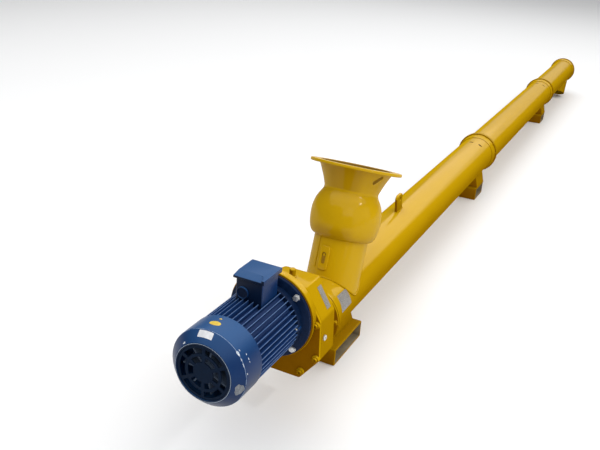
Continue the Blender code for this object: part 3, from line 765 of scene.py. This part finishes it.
for name, branch, radius in (("inlet_weld", INLET, SPOUT_R), ("discharge_weld", OUTLET, DISCHARGE_R)):
    line = crossing(branch, radius + 0.001, 0.001)
    finish(bead(name, line, 0.0032, True), YELLOW, "yellow_paint")


def on_spout(turn_degrees, s):
    angle = math.radians(turn_degrees)
    return tuple(INLET @ Vector((SPOUT_R * math.cos(angle), SPOUT_R * math.sin(angle), s)))


SEAM_DEGREES, SEAM_START, SEAM_LENGTH = 153, 0.112, 0.122
seam = [on_spout(SEAM_DEGREES, SEAM_START + SEAM_LENGTH * step / 24) for step in range(25)]
finish(bead("spout_seam", seam, 0.0022), YELLOW, "yellow_paint")
print("welds follow", len(seam), "points down the spout")

# %% Slotted pad
PAD_FACE = SPOUT_R + 0.005
PAD_PLACE = (
    INLET
    @ Matrix.Translation((0, 0, 0.156))
    @ Matrix.Rotation(math.radians(172), 4, "Z")
    @ Matrix.Rotation(math.pi / 2, 4, "Y")
)
pad_outline = rounded([(-0.049, -0.021), (0.049, -0.021), (0.049, 0.021), (-0.049, 0.021)], 0.016, steps=6)
pad = plate("slotted_pad", pad_outline, PAD_FACE - 0.010, PAD_FACE, PAD_PLACE)
soften(pad, 0.0040, 4)
cut(pad, rod("spout_core", SPOUT_R + GAP, 0, BALL_S, INLET, ROUND))
cut(pad, plate("slot", stadium(0.046, 0.017), PAD_FACE - 0.03, PAD_FACE + 0.03, PAD_PLACE))
finish(pad, PRESSED, "yellow_paint", "spout_pad")
# Painted shade: a thin brown sheet in the slot stands for the shade down in it.
slot_shade_sheet = plate("slot_shade_sheet", stadium(0.0454, 0.0164), SPOUT_R - 0.001, SPOUT_R + 0.0006, PAD_PLACE)
finish(slot_shade_sheet, SLOT_SHADE_BROWN, "yellow_paint")
head_place = PAD_PLACE @ Matrix.Translation((-0.012, 0, 0))
head = rod("slot_bolt", 0.0060, SPOUT_R + 0.0004, SPOUT_R + 0.0036, head_place, 6)
soften(head, 0.0008)
finish(head, PRESSED, "yellow_paint")

# %% [markdown]
# ## Bolts
# One hexagon bolt and one socket screw are modelled, and each place gets its own copy of one of them. The
# copies of one ring are joined, so a ring of bolts is one piece.


# %% Bolt masters
MASTERS = []


def hex_bolt(size):
    """A hexagon head on a washer. It stands on Z = 0, and its size is the width over its flats."""
    thick, wide = 0.0016, size * 0.66
    line = rounded([(wide, thick), (wide, 0), (0, 0), (0, thick)], 0.0005, (0, 1))
    washer = turned("washer", line, UP, 32)
    head = rod("head", size / math.sqrt(3), thick, thick + size * 0.42, UP, 6)
    soften(head, size * 0.035, 2)
    shares = ((0.44, 0.40), (0.47, 0.44), (0.40, 0.475), (0, 0.48), (0, 0.40))
    crown = turned("crown", [(size * out, size * up) for out, up in shares], UP, 32)
    MASTERS.append(joined("hex_bolt", washer, head, crown))
    return MASTERS[-1]


def socket_screw(radius, height):
    """A round head with a hexagon socket in its face."""
    line = rounded([(radius, height), (radius, 0), (0, 0), (0, height)], radius * 0.16, (0, 1))
    head = turned("head", line, UP, 32)
    MASTERS.append(cut(head, rod("socket", radius * 0.52, height * 0.45, height + 0.01, UP, 6)))
    return head


def set_of(master, name, places, coat, slot):
    copies = [copied(master, f"{name}_{index}", place) for index, place in enumerate(places)]
    return finish(joined(name, *copies), coat, slot)


def ring_places(matrix, radius, count, phase=0.0, spin=0.0):
    """Places round a circle, each looking along the matrix's Z."""
    places = []
    for index in range(count):
        angle = phase + 2 * math.pi * index / count
        places.append(
            matrix
            @ Matrix.Rotation(angle, 4, "Z")
            @ Matrix.Translation((radius, 0, 0))
            @ Matrix.Rotation(spin * index, 4, "Z")
        )
    return places


M8_HEX = hex_bolt(0.0115)
M12_HEX = hex_bolt(0.019)
BACK = Matrix.Rotation(math.pi, 4, "X")

for number, joint in enumerate(JOINT_XS, 1):
    near = along_x(joint - RIM_BACK - RIM_THICK) @ BACK
    far = along_x(joint + RIM_BACK + RIM_THICK)
    places = ring_places(near, 0.1205, 12, 0.13, 0.5) + ring_places(far, 0.1205, 12, 0.13, 0.8)
    set_of(M8_HEX, f"joint_{number}_bolts", places, YELLOW, "yellow_paint")
places = ring_places(along_x(DRIVE_X - DISC_THICK) @ BACK, 0.114, 8, math.radians(3), 0.6)
set_of(M12_HEX, "drive_plate_bolts", places, YELLOW, "yellow_paint")
places = ring_places(along_x(END_X + DISC_THICK), 0.112, 8, math.radians(22.5), 0.6)
set_of(M12_HEX, "end_plate_bolts", places, YELLOW, "yellow_paint")
places = ring_places(along_x(END_X + DISC_THICK + GAP + 0.014), 0.060, 4, math.radians(45), 0.4)
set_of(M8_HEX, "bearing_bolts", places, ZINC, "bare_steel")
print("bolts set")

# %% [markdown]
# ## End plates and the discharge
# Plain discs close the tube at both ends. The far one carries a small bearing housing, and the near one a
# collar for the shaft seal. The discharge is a round pipe, cut square.

# %% Ends of the tube
SHAFT_BORE = 0.0383
DISC_R = RIM_R - 0.001
disc = [(DISC_R, -GAP), (DISC_R, -DISC_THICK), (SHAFT_BORE, -DISC_THICK), (SHAFT_BORE, -GAP)]
disc = rounded(disc, 0.0018)
finish(turned("drive_end_disc", disc, along_x(DRIVE_X)), YELLOW, "yellow_paint", "drive_end_plate")
disc = [(DISC_R, DISC_THICK), (DISC_R, GAP), (SHAFT_BORE, GAP), (SHAFT_BORE, DISC_THICK)]
disc = rounded(disc, 0.0018)
finish(turned("far_end_disc", disc, along_x(END_X)), YELLOW, "yellow_paint", "discharge_end_plate")
seal_start = -0.350 + 0.030 + GAP
seal_length = DRIVE_X - DISC_THICK - GAP - seal_start
seal = rounded([(0.070, seal_length), (0.070, 0), (SHAFT_BORE, 0), (SHAFT_BORE, seal_length)], 0.003)
finish(turned("seal_ring", seal, along_x(seal_start)), YELLOW, "yellow_paint", "seal_housing")
shell = [(0, 0.062), (0.050, 0.062), (0.050, 0.014), (0.070, 0.014)]
shell += [(0.070, 0), (SHAFT_BORE, 0), (SHAFT_BORE, 0.048), (0, 0.048)]
bearing = turned("bearing_cap", rounded(shell, 0.004, (1, 2, 3)), along_x(END_X + DISC_THICK + GAP))
finish(bearing, YELLOW, "yellow_paint", "end_bearing")

# %% Discharge spout
DISCHARGE_LENGTH = (AXIS_Z - 0.004 - DISCHARGE_R * math.sin(DISCHARGE_LEAN)) / math.cos(DISCHARGE_LEAN)
inner = DISCHARGE_R - 0.004
pipe = [(DISCHARGE_R, DISCHARGE_LENGTH), (DISCHARGE_R, 0), (inner, 0), (inner, DISCHARGE_LENGTH)]
chute = turned("discharge_pipe", rounded(pipe, 0.0012, (0, 3)), OUTLET)
cut(chute, rod("pipe", TUBE_R + GAP, -0.5, 0.5, along_x(DISCHARGE_X), ROUND))
finish(chute, YELLOW, "yellow_paint", "discharge_spout")
print("discharge ends", round(min(v.co.z for v in chute.data.vertices), 4), "m over the floor")

# %% [markdown]
# ## Feet
# Each foot is a length of folded channel, open at both sides, with a welded saddle that takes the tube. The
# paint never reached the inside of the channel, so a thin dusty lining covers it there.


# %% Feet
def foot_box(number, span, half, height):
    wall = 0.006
    foot = block(f"foot_{number}_channel", (span[0], -half, 0), (span[1], half, height))
    edit(foot)
    bpy.ops.mesh.select_all(action="DESELECT")
    done()
    for edge in foot.data.edges:
        start, end = (foot.data.vertices[i].co for i in edge.vertices)
        edge.select = abs(start.y - end.y) > half
    edit(foot)
    bpy.ops.mesh.select_mode(type="EDGE")
    bpy.ops.mesh.bevel(offset=0.005, segments=4)
    bpy.ops.mesh.select_mode(type="VERT")
    done()
    low, high = (span[0] + wall, -half - 0.02, wall), (span[1] - wall, half + 0.02, height - wall)
    cut(foot, block("hollow", low, high))
    soften(foot, 0.0007, 2, 50)
    finish(foot, FOOT_SHADE_YELLOW, "yellow_paint", f"foot_{number}_box")
    skin = 0.0006
    low = (span[0] + wall - 0.0001, 0.0022 - half, wall - 0.0001)
    high = (span[1] - wall + 0.0001, half - 0.0022, height - wall + 0.0001)
    lining = block(f"foot_{number}_lining", low, high)
    inside = block(
        "inside", (low[0] + skin, -half - 0.02, low[2] + skin), (high[0] - skin, half + 0.02, high[2] - skin)
    )
    finish(cut(lining, inside), INSIDE, "yellow_paint")


def seam_round_box(number, span, half, height):
    """A weld where the saddle stands on the channel."""
    corners = rounded([(span[0], -half), (span[1], -half), (span[1], half), (span[0], half)], 0.006, steps=4)
    points = [(x, y, height + 0.0012) for x, y in corners]
    finish(bead(f"foot_{number}_weld", points, 0.0022, True), FOOT_SHADE_YELLOW, "yellow_paint")


foot_box(1, (-0.112, 0.160), 0.094, 0.074)
foot_box(2, (2.130, 2.315), 0.090, 0.078)
foot_box(3, (4.560, 4.735), 0.090, 0.078)
for number in (1, 2, 3):
    saddle = NODES[f"foot_{number}_saddle"]
    select_only(saddle)
    bpy.ops.object.duplicate()
    twin = bpy.context.object
    twin.parent = None
    for key in list(twin.keys()):
        del twin[key]
    twin.name = twin.data.name = f"foot_{number}_cradle"
    edit(twin)
    tidy_shell()
    bpy.ops.mesh.dissolve_limited(angle_limit=math.radians(1))
    done()
    soften(twin, 0.0015, 2, 40)
    finish(twin, FOOT_SHADE_YELLOW, "yellow_paint", f"foot_{number}_saddle")
seam_round_box(1, (-0.106, 0.152), 0.056, 0.074)
seam_round_box(2, (2.148, 2.315), 0.090, 0.078)
seam_round_box(3, (4.578, 4.735), 0.090, 0.078)

# %% [markdown]
# ## Lifting lug
# A plate on edge with a rounded head and an eye, rounded off along its edges, with a weld round its foot.

# %% Lug
LUG_X = (0.746, 0.826)
LUG_HALF = 0.006
LUG_BASE = math.sqrt(TUBE_R**2 - LUG_HALF**2) - 0.004
lug_line = [(LUG_X[0], LUG_BASE), (LUG_X[1], LUG_BASE), (0.804, 0.146)]
for x, z, radius, start in ((0.784, 0.174, 0.020, 0.0), (0.749, 0.173, 0.021, math.pi / 2)):
    for step in range(9):
        angle = start + math.pi / 2 * step / 8
        lug_line.append((x + radius * math.cos(angle), z + radius * math.sin(angle)))
UPRIGHT = Matrix.Translation((0, 0, AXIS_Z)) @ Matrix.Rotation(math.pi / 2, 4, "X")
lug = plate("lifting_eye", lug_line, -LUG_HALF, LUG_HALF, UPRIGHT)
cut(lug, rod("eye", 0.011, -0.02, 0.02, UPRIGHT @ Matrix.Translation((0.776, 0.168, 0)), 40))
soften(lug, 0.0016, 2, 40)
cut(lug, rod("pipe", TUBE_R + GAP, 0.6, 0.9, along_x(), ROUND))
finish(lug, YELLOW, "yellow_paint", "lifting_lug")
height = AXIS_Z + LUG_BASE + 0.0045
corners = rounded([(LUG_X[0], -0.007), (LUG_X[1], -0.007), (LUG_X[1], 0.007), (LUG_X[0], 0.007)], 0.003)
line = [(x, y, height) for x, y in corners]
finish(bead("lug_weld", line, 0.0024, True), YELLOW, "yellow_paint")

# %% [markdown]
# ## The gearbox
# A cast housing with flat facets. The outline is the same nine corners as in the solid, with the corners
# softened, and the cover in front of it carries a round boss with a socket screw near each corner.

# %% Gearbox
GEAR_OUTLINE = (
    (-0.098, 0.262), (-0.165, 0.155), (-0.173, 0.008), (-0.105, -0.082), (0.020, -0.082),
    (0.075, 0.005), (0.142, 0.085), (0.148, 0.185), (0.030, 0.262),
)
GEAR_FRONT_X = -0.455
GEAR_REAR_X = -0.350
COVER_BOSSES = (
    (-0.092, 0.250), (-0.1515, 0.142), (-0.161, 0.015), (-0.109, -0.052), (0.017, -0.069),
    (0.066, 0.014), (0.129, 0.085), (0.137, 0.178), (0.027, 0.249),
)

soft_outline = rounded(list(GEAR_OUTLINE), 0.007, steps=4)
housing = plate("gear_housing", soft_outline, GEAR_FRONT_X, GEAR_REAR_X, across(0))
soften(housing, 0.0035, 3, 40)
cut(housing, rod("output_boss", 0.088, -0.02, 0.030, along_x(GEAR_REAR_X), ROUND), how="UNION")
finish(housing, YELLOW, "yellow_paint", "gearbox_housing")

cover_front = GEAR_FRONT_X - GAP - 0.010
cover = plate("gear_cover", soft_outline, cover_front, GEAR_FRONT_X - GAP, across(0))
soften(cover, 0.0028, 3, 40)
screw_places = []
for y, z in COVER_BOSSES:
    boss = turned(
        "boss",
        rounded([(0.0125, 0.009), (0.0135, -0.006), (0, -0.006), (0, 0.009)], 0.0022, (0,)),
        along_x(cover_front, y, z) @ BACK,
        40,
    )
    cut(cover, boss, how="UNION")
    screw_places.append(along_x(cover_front - 0.009, y, z) @ BACK)
finish(cover, COVER_SHADE_YELLOW, "yellow_paint", "gearbox_cover")
SOCKET = socket_screw(0.0088, 0.0085)
set_of(SOCKET, "cover_screws", screw_places, YELLOW, "yellow_paint")

plug_line = [(0, 0.034), (0.009, 0.034), (0.011, 0.031), (0.011, 0.008), (0.014, 0.008), (0.014, 0), (0, 0)]
plug_place = Matrix.Translation((-0.420, -0.029, AXIS_Z + 0.262 + GAP))
plug = turned("breather_plug", rounded(plug_line, 0.0012, (2, 3, 4)), plug_place, 48)
finish(plug, YELLOW, "yellow_paint", "filler_plug")
SIDE = Matrix.Translation((-0.433, -0.1691, AXIS_Z + 0.084)) @ Matrix.Rotation(math.pi / 2, 4, "X")
finish(copied(socket_screw(0.0100, 0.0062), "level_screw", SIDE), ZINC, "bare_steel", "level_plug")

ring_line = [(0, 0.0355), (0.150, 0.0355), (0.150, 0.0075), (0.1565, 0.0075), (0.1565, 0), (0, 0)]
length = GEAR_FRONT_X - 0.010 - 2 * GAP - MOTOR_FLANGE_X - GAP
ring_line = [(radius, min(height, length)) for radius, height in ring_line]
adapter_place = along_x(MOTOR_FLANGE_X + GAP, rise=MOTOR_RISE)
adapter = turned("motor_adapter_ring", rounded(ring_line, 0.0030, (2, 3, 4)), adapter_place)
for place, (y, z) in zip(screw_places, COVER_BOSSES):
    if math.hypot(y, z - MOTOR_RISE) < 0.164:
        cut(adapter, rod("room", 0.0150, -0.012, 0.002, place))
finish(adapter, YELLOW, "yellow_paint", "motor_adapter")
print("gearbox screws:", len(screw_places))

# %% [markdown]
# ## The motor
# The barrel has forty-four straight ribs, all alike. Its outline is drawn once, filled and pulled along the
# axis, which is how such a frame is extruded. The flange, the shield and the cowl are turned.

# %% Navy with a painted highlight on the rib tips and painted shade between the ribs
def ribbed_navy():
    paint = Finish("ribbed_navy")
    y, z = paint.axis("Y"), paint.axis("Z") - (AXIS_Z + MOTOR_RISE)
    radius = (y * y + z * z).maths("POWER", 0.5)
    uneven = paint.window(paint.noise(70.0, 3.0), 0.35, 0.65)
    # Painted highlight on the rib crests, and painted shade down between the ribs.
    crest_highlight = paint.window(radius, 0.1222, 0.1240) * (0.55 + uneven * 0.45)
    deep = 1.0 - paint.window(radius, 0.1065, 0.1215)
    colour = paint.blend(deep, rgb(0.008, 0.038, 0.145), rgb(0.008, 0.033, 0.125))
    colour = paint.blend(crest_highlight * 0.8, colour, rgb(0.120, 0.210, 0.400))
    paint.set(Base_Color=colour, Roughness=0.40 + deep * 0.25)
    paint.shader.inputs["Specular IOR Level"].default_value = 0.22
    paint.bump(paint.noise(320.0, 2.0), 0.04, 0.0005)
    return paint.material


RIBBED = ribbed_navy()

# %% Ribbed barrel
RIB_COUNT = 44
RIB_ROOT = 0.1065
RIB_TIP = 0.1242
RIB_LINE = (
    (RIB_ROOT, -0.0021), (RIB_TIP - 0.0006, -0.0012), (RIB_TIP, -0.0007),
    (RIB_TIP, 0.0007), (RIB_TIP - 0.0006, 0.0012), (RIB_ROOT, 0.0021),
)
FRAME_X = (-0.800, -0.5473)


def rib_points():
    points = []
    for index in range(RIB_COUNT):
        middle = 2 * math.pi * index / RIB_COUNT
        for radius, across_rib in RIB_LINE:
            angle = middle + across_rib / radius
            points.append((radius * math.cos(angle), radius * math.sin(angle)))
    return points


barrel_place = across(0, 0, MOTOR_RISE) @ Matrix.Rotation(math.pi / 2, 4, "Z")
barrel = plate("ribbed_barrel", rib_points(), *FRAME_X, barrel_place)
BOX_LOW = AXIS_Z + MOTOR_RISE + 0.102
cut(barrel, block("seat", (-0.6623, -0.0473, BOX_LOW - GAP), (-0.5597, 0.0473, BOX_LOW + 0.1)))
finish(barrel, RIBBED, "navy_paint", "motor_frame")
print("barrel faces:", len(barrel.data.polygons))

# %% Flange and shields
FLANGE_BACK_X = -0.517
SHIELD_LUG_X = -0.533
SHIELD_SCREW_X = -0.549
SHIELD_CIRCLE = 0.1165
flange_line = [
    (0, 0), (0.150, 0), (0.150, -0.014), (0.1238, -0.018), (0.1238, -0.044), (0, -0.044),
]
flange_place = along_x(MOTOR_FLANGE_X, rise=MOTOR_RISE)
front = turned("motor_front_flange", rounded(flange_line, 0.0026, (1, 2, 4)), flange_place)
finish(front, FLANGE_SHADE_NAVY, "navy_paint", "motor_flange")
shield_line = [(0, 0), (0.1244, 0), (0.1244, -0.014), (0.030, -0.014), (0.030, -0.022), (0, -0.022)]
rear = turned("motor_rear_plate", rounded(shield_line, 0.002, (2, 4)), along_x(-0.8003, rise=MOTOR_RISE))
finish(rear, SHIELD_NAVY, "navy_paint", "motor_rear_shield")
flange_face = along_x(FLANGE_BACK_X, rise=MOTOR_RISE) @ BACK
places = ring_places(flange_face, 0.1345, 4, math.pi / 4, 0.7)
set_of(M12_HEX, "motor_flange_bolts", places, ZINC, "bare_steel")
ears = []
for place in ring_places(along_x(SHIELD_LUG_X, rise=MOTOR_RISE) @ BACK, SHIELD_CIRCLE, 4):
    ear = rod("ear", 0.0095, -0.006, 0.016, place, 32)
    ears.append(soften(ear, 0.0015))
finish(joined("shield_lugs", *ears), NAVY, "navy_paint")
places = ring_places(along_x(SHIELD_SCREW_X, rise=MOTOR_RISE) @ BACK, SHIELD_CIRCLE, 4)
set_of(socket_screw(0.0062, 0.006), "shield_screws", places, ZINC, "bare_steel")

# %% Fan cowl, grille and fan
COWL_X = (-0.912, -0.790)
COWL_R = 0.1268
COWL_END_R = 0.0955
RIDGE = 0.032
length = COWL_X[1] - COWL_X[0]
cowl_line = [
    (COWL_R, length), (COWL_R, RIDGE), (COWL_END_R, 0), (0.0903, 0),
    (0.0903, 0.006), (COWL_END_R - 0.003, 0.006), (COWL_R - 0.002, RIDGE + 0.002), (COWL_R - 0.002, length),
]
cowl = turned("fan_cover", rounded(cowl_line, 0.004, (1, 2, 6), 5), along_x(COWL_X[0], rise=MOTOR_RISE), 128)
finish(cowl, NAVY, "navy_paint", "fan_cowl")
grille_place = along_x(COWL_X[0] + 0.002, rise=MOTOR_RISE)
guard_line = rounded([(0.0900, 0.003), (0.0900, 0), (0, 0), (0, 0.003)], 0.0008, (1,))
grille = turned("fan_guard", guard_line, grille_place)
for reach in (0.034, 0.062):
    for index in range(6):
        share = math.pi / 3
        half = share / 2 - 0.0045 / reach
        middle = share * (index + 0.5)
        outer = [(reach + 0.018, middle - half + half * step / 6) for step in range(13)]
        inner = [(reach, middle + half - half * step / 6) for step in range(13)]
        line = [(radius * math.cos(angle), radius * math.sin(angle)) for radius, angle in outer + inner]
        cut(grille, plate("slot", line, -0.01, 0.01, grille_place))
finish(grille, DARK_NAVY, "dark_paint", "fan_grille")
print("grille faces:", len(grille.data.polygons))

# %% [markdown]
# ## Pale lines on the folds
# The ridge and the rim of the cowl show a thin pale line. Each is a hair-thin ring that lies on the fold,
# broken up by noise in its finish.

# %% Pale lines on the folds
def pale_line(name, pale, dark, often):
    paint = Finish(name)
    broken = paint.window(paint.noise(26.0, 5.0), often, often + 0.10)
    paint.set(Base_Color=paint.blend(broken, pale, dark), Roughness=0.5)
    return paint.material


PALE_FOLD = pale_line("pale_fold", rgb(0.30, 0.40, 0.55), rgb(0.012, 0.045, 0.150), 0.54)
PALE_RIM = pale_line("pale_rim", rgb(0.36, 0.45, 0.56), rgb(0.030, 0.085, 0.200), 0.66)


def fold_line(name, radius, height, thickness, coat):
    section = []
    for step in range(8):
        angle = 2 * math.pi * step / 8
        section.append((radius + thickness * math.cos(angle), height + thickness * math.sin(angle)))
    ring = turned(name, section, along_x(COWL_X[0], rise=MOTOR_RISE), 128)
    return finish(ring, coat, "navy_paint")


fold_line("cowl_ridge_line", COWL_R - 0.0010, RIDGE + 0.0002, 0.0006, PALE_FOLD)
fold_line("cowl_rim_line", COWL_END_R - 0.0016, 0.0010, 0.0011, PALE_RIM)

# %% [markdown]
# ## The terminal box
# A cast box with a lid that stands out all round. A strip along one edge of the lid slopes down, and a round
# closed entry sits on the side that looks back along the motor.

# %% Terminal box, lid and entry
BOX_TOP = AXIS_Z + MOTOR_RISE + 0.190
casing = block("terminal_casing", (-0.662, -0.047, BOX_LOW), (-0.560, 0.047, BOX_TOP))
soften(casing, 0.0045, 4)
finish(casing, NAVY, "navy_paint", "terminal_box")

lid = block("terminal_lid", (-0.669, -0.054, BOX_TOP + GAP), (-0.551, 0.054, BOX_TOP + 0.015))
strip = [(-0.09, 0.060), (0, 0.060), (0, -0.012), (-0.007, -0.034), (-0.023, -0.044), (-0.09, -0.046)]
slope = Matrix.Translation((-0.633, 0, BOX_TOP + 0.015)) @ Matrix.Rotation(math.radians(-11), 4, "Y")
cut(lid, plate("slope", strip, 0, 0.03, slope))
soften(lid, 0.0022, 3, 8)
finish(lid, NAVY, "navy_paint", "terminal_box_lid")

entry_line = [(0, 0.0042), (0.0170, 0.0042), (0.0175, 0.0060), (0.0195, 0.0060)]
entry_line += [(0.0205, 0.0045), (0.0205, 0), (0, 0)]
entry_place = along_x(-0.6623, 0.021, 0.299) @ BACK
entry = turned("cable_entry", rounded(entry_line, 0.0008, (1, 2, 3, 4)), entry_place, 64)
finish(entry, NAVY, "navy_paint", "cable_gland")
print("terminal box top", round(BOX_TOP + 0.015, 3))

# %% [markdown]
# ## Plates and labels
# The labels lie on curved sheet, so each is cut out of a skin that hugs the sheet. All of them are bare. The
# chips in the paint are cut out of a thinner skin in the same way, and their ragged outlines come from sines.


# %% Labels and chips on the cowl
def cowl_skin(name, lift, thick):
    wide = COWL_R + lift
    outside = [(wide, length - 0.004), (wide, RIDGE - lift * 0.4), (COWL_END_R + lift, -lift)]
    inside = [(radius - thick, height + thick) for radius, height in reversed(outside)]
    return turned(name, rounded(outside + inside, 0.004, (1, 4), 5), along_x(COWL_X[0], rise=MOTOR_RISE), 128)


def cowl_patch(name, x, degrees, points, coat, lift=0.0003, thick=0.0006):
    """Cut an outline out of the skin, seen from outside. Degrees run from the top to the right side."""
    skin = cowl_skin(name, lift, thick)
    centre = Matrix.Translation((x, 0, AXIS_Z + MOTOR_RISE))
    place = centre @ Matrix.Rotation(math.radians(degrees), 4, "X")
    cut(skin, plate("outline", points, 0.06, 0.16, place), how="INTERSECT")
    return finish(skin, coat, "navy_paint")


def oval(length, width, wobble=0.0, seed=0.0):
    points, steps = [], 28
    for step in range(steps):
        angle = 2 * math.pi * step / steps
        reach = 1 + wobble * (math.sin(3 * angle + seed) + 0.6 * math.sin(7 * angle + 2.1 * seed))
        points.append((length / 2 * reach * math.cos(angle), width / 2 * reach * math.sin(angle)))
    return points


label = rounded([(-0.0075, -0.024), (0.0075, -0.024), (0.0075, 0.024), (-0.0075, 0.024)], 0.002)
cowl_patch("cowl_label", -0.8905, -3.5, label, PAPER)
cowl_patch("cowl_decal", -0.8385, -3.8, oval(0.023, 0.037), DECAL)
cowl_patch("cowl_mark", -0.8100, -3.3, oval(0.006, 0.010, 0.08, 1.0), DECAL)
CHIPS = (
    (-0.8795, 49.0, 0.0060, 0.0165, 0.16, 0.4), (-0.8686, 47.0, 0.0030, 0.0060, 0.20, 1.3),
    (-0.8800, 58.0, 0.0022, 0.0080, 0.22, 2.2), (-0.8806, 66.0, 0.0020, 0.0110, 0.24, 0.9),
    (-0.8517, 57.0, 0.0035, 0.0050, 0.20, 1.7), (-0.8506, 63.9, 0.0030, 0.0070, 0.22, 2.9),
    (-0.8502, 68.3, 0.0022, 0.0040, 0.20, 0.2), (-0.8731, 80.3, 0.0030, 0.0050, 0.18, 1.1),
    (-0.9060, -42.0, 0.0040, 0.0100, 0.20, 2.5),
)
for number, (x, degrees, long, wide, wobble, seed) in enumerate(CHIPS, 1):
    cowl_patch(f"cowl_chip_{number}", x, degrees, oval(long, wide, wobble, seed), PRIMER, 0.0002, 0.0005)
cowl_patch("cowl_scuff", -0.8925, 103.0, oval(0.020, 0.040, 0.10, 0.6), GREYED, 0.0002, 0.0005)
print("cowl patches:", 4 + len(CHIPS))

# %% Plates on the gearbox and the tube
start, end = Vector((-0.098, 0.262)), Vector((-0.165, 0.155))
down = (end - start).normalized()
facet = Matrix(
    ((1, 0, 0, 0), (0, down.x, down.y, start.x), (0, down.y, -down.x, start.y + AXIS_Z), (0, 0, 0, 1))
)
corners = [(-0.396, 0.027), (-0.368, 0.027), (-0.368, 0.109), (-0.396, 0.109)]
gear_plate = plate("gear_plate", corners, 0.0001, 0.0010, facet)
soften(gear_plate, 0.0004)
finish(gear_plate, PLATE, "bare_steel")

skin_line = [(TUBE_R + 0.0011, 0.30), (TUBE_R + 0.0011, 0), (TUBE_R + 0.0001, 0), (TUBE_R + 0.0001, 0.30)]
skin = turned("tube_plate", skin_line, along_x(-0.24), 128)
corner_degrees = ((-0.146, 47.5), (-0.048, 48.6), (-0.036, 82.4), (-0.130, 84.6))
line = [(x, -TUBE_R * math.sin(math.radians(turn - 66.0))) for x, turn in corner_degrees]
place = Matrix.Translation((0, 0, AXIS_Z)) @ Matrix.Rotation(math.radians(66.0), 4, "X")
cut(skin, plate("outline", rounded(line, 0.004), 0.06, 0.16, place), how="INTERSECT")
finish(skin, PLATE, "bare_steel")
print("plates: 2")

# %% [markdown]
# ## Studio
# The floor is one pale sheet. The gloss on the tube is the picture of two bright panels that stand beyond its
# far end, one over the other. A wide soft light hangs overhead, one stands to the right and a weak one behind
# the motor, and a small one gives the bright spot on the ball.

# %% Floor and lights
select_only()
bpy.ops.mesh.primitive_plane_add(size=120, location=(12, 0, -0.0005))
floor = bpy.context.object
floor.name = "studio_floor"
pale = Finish("pale_floor")
cloud = pale.noise(1.5) * 0.06
pale.set(Base_Color=pale.blend(cloud, rgb(0.94, 0.94, 0.94), rgb(0.91, 0.91, 0.91)), Roughness=0.9)
pale.shader.inputs["Specular IOR Level"].default_value = 0.2
floor.data.materials.append(pale.material)


def soft_light(name, place, aim, size, power):
    select_only()
    bpy.ops.object.light_add(type="AREA", location=place)
    lamp = bpy.context.object
    lamp.name = name
    lamp.data.shape = "RECTANGLE"
    lamp.data.size, lamp.data.size_y = size
    lamp.data.energy = power
    way = Vector(aim) - Vector(place)
    lamp.rotation_euler = way.to_track_quat("-Z", "Y").to_euler()


soft_light("far_low", (34.0, -4.0, 7.0), (0, -4.0, 7.0), (32, 5.6), 437)
soft_light("far_high", (34.0, -4.0, 15.0), (0, -4.0, 15.0), (32, 10.4), 1790)
soft_light("overhead", (3.0, 0.0, 8.0), (3.0, 0, 0), (22, 17), 1640)
soft_light("right_side", (-1.5, -7.5, 3.0), (1.0, 0, 0.3), (10, 5), 150)
soft_light("front_fill", (-7.0, -3.5, 5.0), (0, 0, 0.4), (5, 4), 110)
soft_light("window_glint", (-0.05, -4.2, 5.0), (0.0, 0, 0.6), (0.5, 0.35), 42)

world = bpy.data.worlds.new("studio")
bpy.context.scene.world = world
world.use_nodes = True
world.node_tree.nodes["Background"].inputs["Color"].default_value = (0.95, 0.97, 1.0, 1)
world.node_tree.nodes["Background"].inputs["Strength"].default_value = 0.15
bpy.context.scene.view_settings.view_transform = "Standard"
print("studio ready")

# %% Put the masters away
for master in MASTERS:
    bpy.data.objects.remove(master, do_unlink=True)

# %% Finish
PLAIN = {"yellow_paint": YELLOW, "navy_paint": NAVY, "dark_paint": DARK_NAVY, "black_plastic": LIGHTENED_BLACK}
for name, solid in NODES.items():
    if not solid.hide_render:
        for place in solid.material_slots:
            place.material = PLAIN.get(place.material.name.split(".")[0], WORN)
